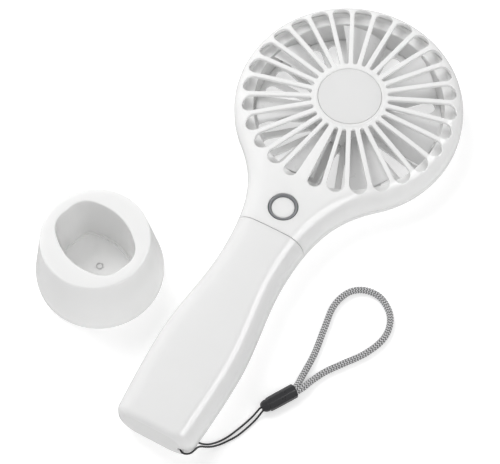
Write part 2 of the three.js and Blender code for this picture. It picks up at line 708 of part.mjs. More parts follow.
// Hand-chosen points, from the slider into the side hole and back to the slider.
const STRING_ROUTE = [
  [32, -141.4, 2.4], [30.8, -145.6, 1], [29.4, -150, 0.7], [27.8, -154.4, 0.7], [25.9, -158.8, 0.7],
  [23.6, -162.6, 1], [21.2, -165.9, 2.8], [19.2, -167.8, 5], [17.4, -168.8, 7], [15.2, -169.8, 8.2],
  [13.5, -171.3, 9], [12.8, -173, 9.5], [12.95, -174.9, 9.9], [13.8, -176.3, 10.4], [15.2, -176.9, 10.8],
  [16.8, -176.4, 10.9], [18, -175, 10.4], [18.4, -173, 9.4], [18.6, -171, 7.8], [19.3, -169.3, 5.8],
  [20.9, -167.8, 3.8], [22.8, -165.8, 2], [24.8, -163.2, 0.9], [27, -160, 0.7], [29.2, -156.3, 0.7],
  [31.2, -151, 0.7], [32.6, -146.2, 0.9], [33.4, -142.6, 2.2],
];

const LOOP_ROUTE = [
  [40.7, -126.3, 3], [40.6, -120, 1.9], [40.3, -108.6, 1.6], [38.5, -96, 1.6], [37.2, -84.8, 1.6],
  [39.8, -76.2, 1.6], [45.5, -71.8, 1.6], [53, -71.6, 1.6], [59.7, -76.2, 1.6], [62.7, -82.4, 1.6],
  [62.6, -89.8, 1.6], [59, -98.4, 1.6], [53.6, -106, 1.6], [48.2, -113.6, 1.6], [45, -120.2, 1.9],
  [43.4, -125.2, 3],
];

const strapString = () => tube(STRING_ROUTE, STRING_DIAMETER, 8, 60);
const strapLoop = () => tube(LOOP_ROUTE, BRAID_DIAMETER, 8, 28);

// A moulded clip, thick in the middle and drawn in at both ends.
function strapSlider() {
  const near = vec3(...SLIDER_NEAR);
  const far = vec3(...SLIDER_FAR);
  const length = near.distanceTo(far);
  const shape = new THREE.Shape([
    vec2(0, -1.7), vec2(2.4, -3.1), vec2(length - 3, -3.3), vec2(length, -2.6),
    vec2(length, 2.6), vec2(length - 3, 3.3), vec2(2.4, 3.1), vec2(0, 1.7),
  ]);
  const edge = { bevelThickness: 1.4, bevelSize: 0.8, bevelOffset: -0.8, bevelSegments: 1 };
  const turn = (Math.atan2(far.y - near.y, far.x - near.x) * 180) / Math.PI;
  const clip = solid(new THREE.ExtrudeGeometry(shape, { depth: 3, ...edge }));
  return clip.rotate([0, 0, turn]).translate([near.x, near.y, near.z - 1.5]);
}

// ---- desk stand ----

// The socket's plan: two long sides that bow out, two straight ends and round corners.
function socketPlan(long, short, corner) {
  const start = long - corner;
  const pull = short + 2 * SOCKET_BOW;
  const bend = short - (2 * SOCKET_BOW * corner) / start;
  const shape = new THREE.Shape();
  shape.moveTo(-start, -short);
  shape.quadraticCurveTo(0, -pull, start, -short);
  shape.quadraticCurveTo(long, -bend, long, corner - bend);
  shape.lineTo(long, bend - corner);
  shape.quadraticCurveTo(long, bend, start, short);
  shape.quadraticCurveTo(0, pull, -start, short);
  shape.quadraticCurveTo(-long, bend, -long, bend - corner);
  shape.lineTo(-long, corner - bend);
  shape.quadraticCurveTo(-long, -bend, -start, -short);
  return shape;
}

function socketSolid(grow, z0, z1) {
  const shape = socketPlan(SOCKET_LONG + grow, SOCKET_SHORT + grow, SOCKET_CORNER + grow);
  const options = { depth: z1 - z0, bevelEnabled: false, curveSegments: 6 };
  const geometry = new THREE.ExtrudeGeometry(shape, options);
  return solid(geometry).translate([0, 0, z0]).rotate([0, 0, STAND_TURN]);
}

function deskStand() {
  const outline = [
    [0, 0], [STAND_BOTTOM - 3.6, 0], [STAND_BOTTOM - 0.9, 1.1], [STAND_BOTTOM, 3.6],
    [STAND_BOTTOM - 0.35, 6], [STAND_TOP, STAND_HEIGHT - 0.8], [STAND_TOP - 0.8, STAND_HEIGHT],
    [0, STAND_HEIGHT],
  ];
  const outer = turned(outline, 40);
  const inner = STAND_BOTTOM - 6.4;
  const under = turned([
    [0, -5], [inner, -5], [inner, 1.5], [STAND_BOTTOM - STAND_WALL - 0.4, 5],
    [STAND_TOP - STAND_WALL, STAND_HEIGHT - STAND_WALL], [0, STAND_HEIGHT - STAND_WALL],
  ], 40);
  const block = socketSolid(STAND_WALL, SOCKET_FLOOR - STAND_WALL, STAND_HEIGHT);
  const socket = socketSolid(0, SOCKET_FLOOR, STAND_HEIGHT + 5);
  const stand = outer.subtract(under.subtract(block)).subtract(socket);
  return stand.translate([STAND_X, STAND_Y, 0]);
}

// ---- assembly ----
function group(...meshes) {
  const parts = new THREE.Group();
  parts.add(...meshes);
  return parts;
}

const head = group(
  piece('front_cover', frontCover(), PLASTIC),
  piece('rear_cover', rearCover(), PLASTIC),
  piece('hub_badge', rod(BADGE_RADIUS, HUB_TOP - 1, HUB_TOP, 32), PLASTIC),
  ...screws('cover_screw', COVER_SCREWS, SCREW_SEAT - 1.6, 9),
);

const controls = group(
  piece('button_ring', buttonRing(), finish(DARK_RING, 0.4)),
  piece('button_cap', buttonCap(), PLASTIC),
  piece('switch_body', switchBody(), finish(BLACK, 0.5)),
  piece('switch_plunger', switchPlunger(), finish(BLACK, 0.5)),
  piece('control_board', controlBoard(), finish(BOARD_GREEN, 0.45)),
  piece('charge_chip', chargeChip(), finish(BLACK, 0.5)),
  piece('status_led', statusLed(), finish(WHITE, 0.3)),
  piece('usb_socket', usbSocket(), METAL),
  ...screws('board_screw', BOARD_SCREWS, BOARD_BOTTOM - 1.6, 5),
);

const motor = group(
  piece('motor_cover', motorCover(), PLASTIC),
  piece('motor_can', motorCan(), METAL),
  piece('motor_end_cap', motorEndCap(), finish(BLACK, 0.5)),
  piece('motor_front_bearing', frontBearing(), finish(BRONZE, 0.4, 0.8)),
  piece('motor_rear_bearing', rearBearing(), finish(BRONZE, 0.4, 0.8)),
  piece('motor_magnet_upper', motorMagnet(1), finish(BLACK, 0.6)),
  piece('motor_magnet_lower', motorMagnet(-1), finish(BLACK, 0.6)),
  piece('motor_terminal_left', motorTerminal(-1), finish(BRASS, 0.35, 0.9)),
  piece('motor_terminal_right', motorTerminal(1), finish(BRASS, 0.35, 0.9)),
  piece('motor_screw_left', motorScrew(-1), METAL),
  piece('motor_screw_right', motorScrew(1), METAL),
);

const rotor = group(
  piece('impeller', impeller(), finish(WHITE, 0.42)),
  piece('motor_shaft', motorShaft(), METAL),
  piece('motor_armature', motorArmature(), finish(COPPER, 0.45, 0.7)),
  piece('motor_commutator', motorCommutator(), finish(COPPER, 0.35, 0.9)),
);

const handle = group(
  piece('handle_sleeve', handleSleeve(), PLASTIC),
  piece('battery_cradle', batteryCradle(), INNER_PLASTIC),
  piece('battery_cell', batteryCell(), finish(BLUE, 0.4)),
  piece('battery_insulator', cellInsulator(), finish(WHITE, 0.7)),
  piece('battery_tab_positive', positiveTab(), METAL),
  piece('battery_tab_negative', negativeTab(), METAL),
  piece('battery_end_pad', endPad(), finish(BLACK, 0.9)),
  ...screws('cradle_screw', CRADLE_SCREWS, 0.1, 5.2),
  ...screws('handle_screw', [HANDLE_SCREW], 0.7, 4.8),
);

const wiring = group(
  piece('motor_wire_black', motorWire(-1), finish(BLACK, 0.6)),
  piece('motor_wire_red', motorWire(1), finish(RED, 0.6)),
  piece('battery_wire_red', positiveWire(), finish(RED, 0.6)),
  piece('battery_wire_black', negativeWire(), finish(BLACK, 0.6)),
);

const strap = group(
  piece('strap_string', strapString(), finish(BLACK, 0.8)),
  piece('strap_slider', strapSlider(), finish(BLACK, 0.45)),
  piece('strap_loop', strapLoop(), finish(BRAID_GREY, 0.85)),
);

const stand = group(piece('desk_stand', deskStand(), PLASTIC));

const fan = new THREE.Group();
fan.name = 'handheld_fan';
fan.add(head, controls, motor, rotor, handle, wiring, strap, stand);
fan.position.set(-CENTRE_X, -CENTRE_Y, 0);

export default fan;
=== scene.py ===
import json
import math

import bmesh
import bpy
import numpy as np
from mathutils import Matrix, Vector
from mathutils.geometry import delaunay_2d_cdt


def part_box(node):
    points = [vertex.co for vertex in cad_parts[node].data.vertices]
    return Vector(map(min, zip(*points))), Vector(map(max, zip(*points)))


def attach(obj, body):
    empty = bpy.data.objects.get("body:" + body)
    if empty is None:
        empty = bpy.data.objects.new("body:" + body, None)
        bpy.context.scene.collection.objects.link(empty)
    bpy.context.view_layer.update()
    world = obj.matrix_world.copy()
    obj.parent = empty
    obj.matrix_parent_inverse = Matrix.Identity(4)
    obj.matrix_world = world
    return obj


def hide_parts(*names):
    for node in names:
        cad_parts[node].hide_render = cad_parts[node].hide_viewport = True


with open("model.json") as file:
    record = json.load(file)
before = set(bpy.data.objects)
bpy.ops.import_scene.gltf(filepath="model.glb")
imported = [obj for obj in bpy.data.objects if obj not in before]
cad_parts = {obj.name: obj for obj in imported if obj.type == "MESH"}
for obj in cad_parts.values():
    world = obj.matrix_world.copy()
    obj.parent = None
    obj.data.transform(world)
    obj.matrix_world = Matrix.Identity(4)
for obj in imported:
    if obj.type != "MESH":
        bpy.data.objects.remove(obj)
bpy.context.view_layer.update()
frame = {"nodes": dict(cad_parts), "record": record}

# Shapes are written in millimetres in the fan's own frame: the origin is on the table under the
# middle of the head, +Y runs up the handle towards the head and +Z is up. place() takes them to
# the row frame, in metres.
MM = 0.001
HUB_LOW, HUB_HIGH = (np.array(corner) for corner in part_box("hub_badge"))
ORIGIN = (HUB_LOW + HUB_HIGH) / 2 * (1, 1, 0)


def place(points):
    return np.asarray(points, float) * MM + ORIGIN


def box_mm(node):
    return [(np.array(corner) - ORIGIN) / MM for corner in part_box(node)]


# ---- sizes read from the frame ----
COVER_LOW, COVER_HIGH = box_mm("front_cover")
SLEEVE_LOW, SLEEVE_HIGH = box_mm("handle_sleeve")
STAND_LOW, STAND_HIGH = box_mm("desk_stand")
RING_LOW, RING_HIGH = box_mm("button_ring")
BADGE_LOW, BADGE_HIGH = box_mm("hub_badge")
CAP_LOW, CAP_HIGH = box_mm("button_cap")

HEAD_RADIUS = COVER_HIGH[1]
COVER_END = COVER_LOW[1]
SLEEVE_END = SLEEVE_HIGH[1]
FOOT_Y = SLEEVE_LOW[1]
THICKNESS = SLEEVE_HIGH[2]
SPLIT_FRONT = COVER_LOW[2]
SPLIT_REAR = SPLIT_FRONT - 0.3
STAND_MIDDLE = (STAND_LOW[:2] + STAND_HIGH[:2]) / 2
STAND_BASE = (STAND_HIGH[0] - STAND_LOW[0]) / 2
STAND_HEIGHT = STAND_HIGH[2]
BUTTON = np.array([0.0, (RING_LOW[1] + RING_HIGH[1]) / 2])
BADGE_RADIUS = (BADGE_HIGH[0] - BADGE_LOW[0]) / 2
CAP_RADIUS = (CAP_HIGH[0] - CAP_LOW[0]) / 2

# ---- sizes of the moulding ----
NECK_ANGLE = 48
FRONT_WALL = 2.0
SLEEVE_WALL = 1.5
HUB_RADIUS = 15.8
FILLET = 0.35
FRONT_SLOTS = 28
REAR_SLOTS = 24


# ---- camera ----
LENS = 133.09
CAMERA_HEIGHT, CAMERA_TURN = math.radians(63.43), math.radians(28.70)
CAMERA_DISTANCE = 0.81448
CAMERA_TARGET = (-11.99, -70.17, 0)


def linked(name, data):
    obj = bpy.data.objects.new(name, data)
    bpy.context.scene.collection.objects.link(obj)
    return obj


def aim(obj, where, target):
    obj.location = where
    obj.rotation_euler = (Vector(where) - Vector(target)).to_track_quat("Z", "Y").to_euler()


def make_camera():
    """Looks down at the fan from beyond the handle's right side."""
    data = bpy.data.cameras.new("camera")
    data.sensor_width = 36.0
    data.lens = LENS
    camera = linked("camera", data)
    back = Vector((
        math.sin(CAMERA_TURN) * math.cos(CAMERA_HEIGHT),
        -math.cos(CAMERA_TURN) * math.cos(CAMERA_HEIGHT),
        math.sin(CAMERA_HEIGHT),
    ))
    target = Vector(place(CAMERA_TARGET))
    aim(camera, target + back * CAMERA_DISTANCE, target)
    bpy.context.scene.camera = camera


make_camera()


# ---- node materials ----
class Recipe:
    """A material's nodes, built up one by one."""

    def __init__(self, name):
        self.material = bpy.data.materials.new(name)
        self.material.use_nodes = True
        self.tree = self.material.node_tree
        self.shader = self.tree.nodes["Principled BSDF"]
        self.where = self.node("ShaderNodeTexCoord").outputs["Object"]

    def node(self, kind, **settings):
        made = self.tree.nodes.new(kind)
        for key, value in settings.items():
            setattr(made, key, value)
        return made

    def feed(self, node, **values):
        for key, value in values.items():
            socket = node.inputs[key.replace("_", " ")]
            if isinstance(value, bpy.types.NodeSocket):
                self.tree.links.new(value, socket)
            else:
                socket.default_value = value
        return node

    def noise(self, scale, detail=3.0, stretch=None):
        where = self.where
        if stretch:
            where = self.feed(self.node("ShaderNodeMapping"), Vector=where, Scale=stretch)
            where = where.outputs["Vector"]
        made = self.node("ShaderNodeTexNoise")
        self.feed(made, Vector=where, Scale=scale, Detail=detail)
        return made.outputs["Fac"]

    def spread(self, value, low, high, start=0.3, end=0.7):
        made = self.node("ShaderNodeMapRange")
        self.feed(made, Value=value, From_Min=start, From_Max=end, To_Min=low, To_Max=high)
        return made.outputs["Result"]

    def blend(self, amount, one, other):
        """A mix of two colours. The Mix node's colour sockets share a name, so they go by index."""
        made = self.node("ShaderNodeMix", data_type="RGBA")
        made.inputs[6].default_value = (*one, 1)
        made.inputs[7].default_value = (*other, 1)
        self.tree.links.new(amount, made.inputs[0])
        return made.outputs[2]

    def bump(self, height, depth):
        made = self.node("ShaderNodeBump")
        self.feed(made, Height=height, Distance=depth, Strength=1.0)
        return made.outputs["Normal"]

    def surface(self, **values):
        self.feed(self.shader, **values)
        return self.material


def tint(color, factor):
    return tuple(min(1.0, part * factor) for part in color)


def plastic(name, color, roughness, grain=9000, depth=3e-6, uneven=0.012, coat=0.0, glow=0.0):
    """Moulded plastic: a slow drift of tone, a fine spark-eroded grain and patchy gloss."""
    recipe = Recipe(name)
    drift = recipe.noise(60, 2)
    fine = recipe.noise(grain, 2)
    tone = recipe.blend(drift, tint(color, 1 - uneven), tint(color, 1 + uneven))
    gloss = recipe.spread(recipe.noise(220, 4), roughness - 0.035, roughness + 0.035)
    return recipe.surface(
        Base_Color=tone,
        Roughness=gloss,
        Normal=recipe.bump(fine, depth),
        IOR=1.5,
        Coat_Weight=coat,
        Coat_Roughness=0.12,
        Subsurface_Weight=glow,
        Subsurface_Radius=(1, 1, 1),
        Subsurface_Scale=0.004,
    )


def metal(name, color, roughness, brush=(1, 1, 12), scale=900, depth=1.5e-6):
    """Worked metal with fine lines and a little tarnish."""
    recipe = Recipe(name)
    lines = recipe.noise(scale, 4, brush)
    tarnish = recipe.noise(160, 5)
    tone = recipe.blend(tarnish, tint(color, 0.86), tint(color, 1.05))
    gloss = recipe.spread(lines, roughness - 0.07, roughness + 0.1)
    normal = recipe.bump(lines, depth)
    return recipe.surface(Base_Color=tone, Metallic=1.0, Roughness=gloss, Normal=normal)


def matt(name, color, roughness, scale, depth, uneven=0.12):
    """Foam, paper and ferrite: rough, speckled and uneven."""
    recipe = Recipe(name)
    cells = recipe.node("ShaderNodeTexVoronoi")
    recipe.feed(cells, Vector=recipe.where, Scale=scale)
    speck = recipe.noise(scale * 0.6, 4)
    tone = recipe.blend(speck, tint(color, 1 - uneven), tint(color, 1 + uneven))
    normal = recipe.bump(cells.outputs["Distance"], depth)
    gloss = recipe.spread(speck, roughness - 0.06, roughness + 0.06)
    return recipe.surface(Base_Color=tone, Roughness=gloss, Normal=normal)


def solder_mask(name, color):
    """Green board with raised tracks just visible under the mask."""
    recipe = Recipe(name)
    tracks = recipe.node("ShaderNodeTexBrick", offset=0.35)
    recipe.feed(tracks, Vector=recipe.where, Scale=420.0, Mortar_Size=0.09)
    tone = recipe.blend(tracks.outputs["Fac"], color, tint(color, 1.9))
    gloss = recipe.spread(recipe.noise(500), 0.28, 0.4)
    normal = recipe.bump(tracks.outputs["Fac"], 2e-5)
    return recipe.surface(Base_Color=tone, Roughness=gloss, Normal=normal)


def winding(name, color):
    """Enamelled copper wire wound in close turns, painted darker in the grooves between turns and
    lighter on their crowns: painted shade and painted highlight.
    """
    recipe = Recipe(name)
    turns = recipe.node("ShaderNodeTexWave", bands_direction="Z")
    recipe.feed(turns, Vector=recipe.where, Scale=900.0, Distortion=0.8)
    # Painted shade and painted highlight: the tone follows the turns' bump, dark in the grooves and
    # light on the crowns.
    tone = recipe.blend(turns.outputs["Fac"], tint(color, 0.55), tint(color, 1.15))
    normal = recipe.bump(turns.outputs["Fac"], 8e-5)
    return recipe.surface(Base_Color=tone, Metallic=1.0, Roughness=0.36, Normal=normal)


def yarn(name, dark, light, scale=5200, depth=2.4e-5):
    """Fine filaments, painted lighter where the fibre bump is raised and darker where it is low:
    painted highlight and painted shade.
    """
    recipe = Recipe(name)
    fibre = recipe.noise(scale, 5)
    # Painted highlight and shade: the tone follows the bump's noise, light on the raised fibres and
    # dark between them.
    tone = recipe.blend(recipe.spread(fibre, 0.0, 1.0, 0.35, 0.65), dark, light)
    normal = recipe.bump(fibre, depth)
    return recipe.surface(
        Base_Color=tone,
        Roughness=recipe.spread(fibre, 0.62, 0.86),
        Normal=normal,
        Sheen_Weight=0.35,
        Sheen_Roughness=0.4,
    )


RECORD = frame["record"]
COLORS = {entry["slot"]: tuple(entry["base_color"]) for entry in RECORD["materials"]}
NODE_SLOTS = {row["node"]: row["material_slot"] for row in RECORD["subparts"]}

# Each slot's kind of material, what its colour is multiplied by, and its settings.
FINISHES = [
    ("shell_white", plastic, 0.98, dict(roughness=0.16, depth=1e-6, glow=0.5)),
    ("inner_plastic", plastic, 1, dict(roughness=0.52)),
    ("impeller_white", plastic, 0.84, dict(roughness=0.3)),
    ("ring_grey", plastic, 1.15, dict(roughness=0.34, uneven=0.05)),
    ("black_plastic", plastic, 1, dict(roughness=0.3, grain=3200, depth=5e-6, uneven=0.15)),
    ("steel", metal, 1, dict(roughness=0.3)),
    ("brass", metal, 1, dict(roughness=0.32)),
    ("bronze", metal, 1, dict(roughness=0.48, brush=(1, 1, 1), scale=3000, depth=6e-6)),
    ("copper", winding, 1, {}),
    ("magnet", matt, 1, dict(roughness=0.62, scale=3000, depth=1.4e-5)),
    ("board_green", solder_mask, 1, {}),
    ("led_lens", plastic, 1, dict(roughness=0.16, coat=0.5)),
    ("cell_wrap", plastic, 1, dict(roughness=0.28, grain=700, depth=2e-5, uneven=0.06, coat=0.3)),
    ("paper_white", matt, 1, dict(roughness=0.85, scale=5200, depth=8e-6, uneven=0.04)),
    ("foam_black", matt, 1, dict(roughness=0.92, scale=2400, depth=1e-4)),
    ("wire_red", plastic, 1, dict(roughness=0.46, grain=2600, depth=5e-6, uneven=0.06)),
    ("wire_black", plastic, 1, dict(roughness=0.46, grain=2600, depth=5e-6, uneven=0.2)),
]
MATERIALS = {
    slot: kind(slot, tint(COLORS[slot], factor), **settings)
    for slot, kind, factor, settings in FINISHES
}
MATERIALS["string_black"] = yarn("string_black", (0.008, 0.008, 0.009), (0.035, 0.035, 0.038))
MATERIALS["braid_grey"] = yarn("braid_grey", (0.6, 0.6, 0.605), (0.85, 0.85, 0.86))
BRAID_DARK = yarn("braid_dark", (0.09, 0.09, 0.092), (0.18, 0.18, 0.184))


# ---- mesh tools ----
class Shell:
    """Points and faces of one piece, joined row by row."""

    def __init__(self):
        self.points = []
        self.faces = []
        self.count = 0

    def add(self, points):
        points = np.atleast_2d(np.asarray(points, float))
        self.points.append(points)
        self.count += len(points)
        return np.arange(self.count - len(points), self.count)

    def bridge(self, one, other, closed=True):
        count = len(one)
        for i in range(count if closed else count - 1):
            j = (i + 1) % count
            self.faces.append((int(one[i]), int(one[j]), int(other[j]), int(other[i])))

    def cap(self, row):
        """Closes a loop with a fan round its own middle, which keeps the shading even."""
        points = np.concatenate(self.points)[row]
        middle = int(self.add(points.mean(0))[0])
        for i, index in enumerate(row):
            self.faces.append((int(index), int(row[(i + 1) % len(row)]), middle))

    def join(self, indices, closed=True):
        for one, other in zip(indices, indices[1:]):
            self.bridge(one, other, closed)

    def rows(self, rows, closed=True):
        indices = [self.add(row) for row in rows]
        self.join(indices, closed)
        return indices

    def body(self, rows):
        """A closed body from a stack of loops, capped at both ends."""
        indices = self.rows(rows)
        self.cap(indices[0])
        self.cap(indices[-1])

    def hoop(self, rows):
        """A closed body from a stack of loops that comes back to its first one."""
        indices = self.rows(rows)
        self.bridge(indices[-1], indices[0])


def level(loop, z):
    """A plan's loop at one height."""
    return np.column_stack([loop, np.full(len(loop), float(z))])


def unit(vectors):
    return vectors / np.linalg.norm(vectors, axis=1)[:, None]


def circle(radius, z, count=64, middle=(0, 0)):
    turn = np.linspace(0, 2 * np.pi, count, endpoint=False)
    x = middle[0] + radius * np.cos(turn)
    y = middle[1] + radius * np.sin(turn)
    return level(np.column_stack([x, y]), z)


def turning(turn):
    """The matrix that turns rows of x and y by an angle."""
    return np.array([[math.cos(turn), math.sin(turn)], [-math.sin(turn), math.cos(turn)]])


def rounded(corners, steps=5):
    """A profile through [r, z, rounding] corners, each rounded by its own amount."""
    corners = [(*corner, 0)[:3] for corner in corners]
    path = []
    for i, (r, z, radius) in enumerate(corners):
        here = np.array([r, z], float)
        if radius == 0:
            path.append(here)
            continue
        before = np.array(corners[i - 1][:2]) - here
        after = np.array(corners[(i + 1) % len(corners)][:2]) - here
        start = here + before / np.linalg.norm(before) * radius
        end = here + after / np.linalg.norm(after) * radius
        for t in np.linspace(0, 1, steps):
            path.append((1 - t) ** 2 * start + 2 * t * (1 - t) * here + t * t * end)
    return np.array(path)


def turned(shell, corners, middle=(0, 0), count=64, hoop=False):
    """Adds a rounded profile turned about a vertical axis, and returns the shell."""
    rows = [circle(r, z, count, middle) for r, z in rounded(corners)]
    if hoop:
        shell.hoop(rows)
    else:
        shell.body(rows)
    return shell


def sheet(name, shell):
    mesh = bpy.data.meshes.new(name)
    mesh.from_pydata(place(np.concatenate(shell.points)).tolist(), [], shell.faces)
    return mesh


def solid(name, shell):
    """The shell's mesh with its normals out."""
    mesh = sheet(name, shell)
    work = bmesh.new()
    work.from_mesh(mesh)
    bmesh.ops.recalc_face_normals(work, faces=work.faces)
    work.to_mesh(mesh)
    work.free()
    return mesh


def piece(name, shell, nodes, slot="shell_white", body="fan_body", crease=38, even=False):
    """A finished piece: smooth but for its creases, on its body, in its slot's finish."""
    mesh = solid(name, shell)
    mesh.materials.append(MATERIALS[slot])
    obj = linked(name, mesh)
    smooth(mesh, crease)
    if even:
        obj.modifiers.new("even_normals", "WEIGHTED_NORMAL").keep_sharp = True
    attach(obj, body)
    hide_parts(*nodes)
    return obj


def smooth(mesh, crease):
    mesh.shade_smooth()
    mesh.set_sharp_from_angle(angle=math.radians(crease))


def carve(obj, shell, crease=38):
    """Cuts closed shapes that don't overlap each other out of a piece."""
    cutter = linked("cutter", solid("cutter", shell))
    cut = obj.modifiers.new("cut", "BOOLEAN")
    cut.operation = "DIFFERENCE"
    cut.solver = "EXACT"
    cut.object = cutter
    obj.modifiers.move(len(obj.modifiers) - 1, 0)
    others = [other for other in obj.modifiers if other != cut]
    for other in others:
        other.show_viewport = False
    ready = obj.evaluated_get(bpy.context.evaluated_depsgraph_get())
    result = bpy.data.meshes.new_from_object(ready)
    if not result.polygons:
        raise ValueError(f"nothing is left of {obj.name}")
    obj.modifiers.remove(cut)
    for other in others:
        other.show_viewport = True
    obj.data = result
    bpy.data.objects.remove(cutter)
    smooth(result, crease)


# ---- the body's outline, in plan ----
def bezier(start, leave, arrive, end, steps):
    t = np.linspace(0, 1, steps + 1)[:, None]
    a, b, c, d = (np.array(point, float) for point in (start, leave, arrive, end))
    return (1 - t) ** 3 * a + 3 * (1 - t) ** 2 * t * b + 3 * (1 - t) * t * t * c + t**3 * d


NECK_PULL = 18.2


def side_line():
    """The right side from the head's circle down to the foot."""
    turn = math.radians(NECK_ANGLE)
    start = np.array([math.cos(turn), -math.sin(turn)]) * HEAD_RADIUS
    leave = start + NECK_PULL * np.array([-math.sin(turn), -math.cos(turn)])
    neck, belly, foot = (15.2, -90), (19.5, -137), (17.6, FOOT_Y)
    return np.concatenate([
        bezier(start, leave, (15.2, -64.8), neck, 240),
        bezier(neck, (15.2, -106), (19.5, -121), belly, 160)[1:],
        bezier(belly, (19.5, -149), (18.6, FOOT_Y + 12), foot, 120)[1:],
    ])


SIDE = side_line()
MIRROR = np.array([-1, 1])


def half_width(y):
    return np.interp(-np.asarray(y, float), -SIDE[:, 1], SIDE[:, 0])


def whole_outline():
    turn = np.radians(np.linspace(-NECK_ANGLE, 180 + NECK_ANGLE, 1300))[1:-1]
    head = HEAD_RADIUS * np.column_stack([np.cos(turn), np.sin(turn)])
    return np.concatenate([SIDE[::-1], head, SIDE * MIRROR])


OUTLINE = whole_outline()


def nearest_on(points, start, end):
    along = end - start
    share = ((points - start) * along).sum(1) / np.maximum((along**2).sum(1), 1e-12)
    return start + along * np.clip(share, 0, 1)[:, None]


BATCH = 800


def from_outline(points):
    """Each point's distance inside the outline, and the unit direction further inside."""
    distance, inward = np.empty(len(points)), np.empty((len(points), 2))
    last = len(OUTLINE) - 1
    for start in range(0, len(points), BATCH):
        some = points[start:start + BATCH]
        near = ((some[:, None] - OUTLINE[None]) ** 2).sum(2).argmin(1)
        before, here, after = (OUTLINE[np.clip(near + step, 0, last)] for step in (-1, 0, 1))
        first, second = nearest_on(some, before, here), nearest_on(some, here, after)
        closer = ((some - first) ** 2).sum(1) < ((some - second) ** 2).sum(1)
        best = np.where(closer[:, None], first, second)
        gap = np.linalg.norm(some - best, axis=1)
        distance[start:start + BATCH] = gap
        inward[start:start + BATCH] = (some - best) / np.maximum(gap, 1e-9)[:, None]
    return distance, inward


def resampled(line, spacing):
    steps = np.linalg.norm(np.diff(line, axis=0), axis=1)
    along = np.concatenate([[0], np.cumsum(steps)])
    count = int(round(along[-1] / spacing)) + 1
    target = np.linspace(0, along[-1], count)
    return np.column_stack([np.interp(target, along, line[:, k]) for k in range(line.shape[1])])


def rim_above(y):
    """The outline from its right side at y, over the head, to its left side, with its normals."""
    ends = np.array([half_width(y), y])
    line = np.vstack([ends, OUTLINE[OUTLINE[:, 1] > y + 0.05], ends * MIRROR])
    line = resampled(line, 1.0)
    along = np.gradient(line, axis=0)
    normal = np.column_stack([along[:, 1], -along[:, 0]])
    for i in range(6):
        square = (6 - i) / 6
        normal[i] = normal[i] / np.linalg.norm(normal[i]) * (1 - square) + (square, 0)
        j = -1 - i
        normal[j] = normal[j] / np.linalg.norm(normal[j]) * (1 - square) - (square, 0)
    return line, unit(normal)


# ---- the body's faces: flat, with an elliptical edge all round ----
def eased(t):
    t = np.clip(t, 0, 1)
    return t * t * (3 - 2 * t)


CROWN_RISE, CROWN_START, CROWN_WIDE = 0.35, 5, 9
DOME_RISE, DOME_RADIUS = 0.75, 46


def crown(distance):
    """The front swells very slightly away from its edge."""
    return CROWN_RISE * eased((distance - CROWN_START) / CROWN_WIDE)


def dome(points):
    """The grille swells a little more towards its middle."""
    radius = np.hypot(points[:, 0], points[:, 1])
    return DOME_RISE * np.clip(1 - (radius / DOME_RADIUS) ** 2, 0, None) ** 1.5


class Edge:
    """One face's rounded edge: how wide and high it is, and the height of its widest line."""

    def __init__(self, wide, high, middle, sign):
        self.wide, self.high, self.middle, self.sign = wide, high, middle, sign

    def arc(self, degrees, wall=0.0):
        """Distance in from the outline and height, at an angle up the edge."""
        turn = np.radians(degrees)
        distance = self.wide - (self.wide - wall) * np.cos(turn)
        return distance, self.middle + self.sign * (self.high - wall) * np.sin(turn)

    def height(self, points, distance, wall=0.0):
        share = 1 - np.clip((distance - wall) / (self.wide - wall), 0, 1)
        height = self.middle + self.sign * (self.high - wall) * np.sqrt(1 - share**2)
        if self.sign > 0:
            height = height + crown(distance) + dome(points)
        return height


FRONT = Edge(8.0, 10.5, 11.5, 1)
REAR = Edge(9.0, 9.0, 9.0, -1)


def inside(points, loop):
    """Which points lie inside a closed loop."""
    x, y = points[:, :1], points[:, 1:]
    (ax, ay), (bx, by) = loop.T, np.roll(loop, -1, 0).T
    with np.errstate(divide="ignore", invalid="ignore"):
        crossing = ((ay > y) != (by > y)) & (x < (bx - ax) * (y - ay) / (by - ay) + ax)
    return crossing.sum(1) % 2 == 1


def slot_loop(inner, outer, inner_half, outer_half, degrees, grow):
    """A teardrop slot's loop: two arcs and two straight sides, grown by some amount."""
    near, far = inner + inner_half, outer - outer_half
    lean = math.pi / 2 + math.asin((outer_half - inner_half) / (far - near))
    wide = np.linspace(-lean, lean, 21)
    slim = np.linspace(lean, 2 * math.pi - lean, 9)

    def arc(middle, radius, turns):
        return [(middle + radius * math.cos(a), radius * math.sin(a)) for a in turns]

    around = arc(far, outer_half + grow, wide)
    ending = arc(near, inner_half + grow, slim)
    share = np.linspace(0, 1, 19)[1:-1, None]
    upper = np.array(around[-1]) * (1 - share) + np.array(ending[0]) * share
    lower = np.array(ending[-1]) * (1 - share) + np.array(around[0]) * share
    loop = np.concatenate([around, upper, ending, lower])
    return loop @ turning(math.radians(degrees))


class Slot:
    """A slot right through a grille, with rounded lips."""

    def __init__(self, *size):
        self.size = size
        self.plan = self.loop(FILLET)

    def loop(self, grow):
        return slot_loop(*self.size, grow)

    def build(self, shell, edge, top, bottom):
        rows = [top]
        for degrees in (67.5, 45, 22.5, 0):
            turn = math.radians(degrees)
            loop = self.loop(FILLET * (1 - math.cos(turn)))
            height = edge.height(loop, from_outline(loop)[0])
            drop = edge.sign * FILLET * (1 - math.sin(turn))
            rows.append(shell.add(np.column_stack([loop, height - drop])))
        loop = self.loop(0)
        high = height - drop
        low = edge.height(loop, from_outline(loop)[0], FRONT_WALL) + edge.sign * 0.35
        for share in (0.5, 1):
            rows.append(shell.add(np.column_stack([loop, high + (low - high) * share])))
        shell.join([*rows, bottom])


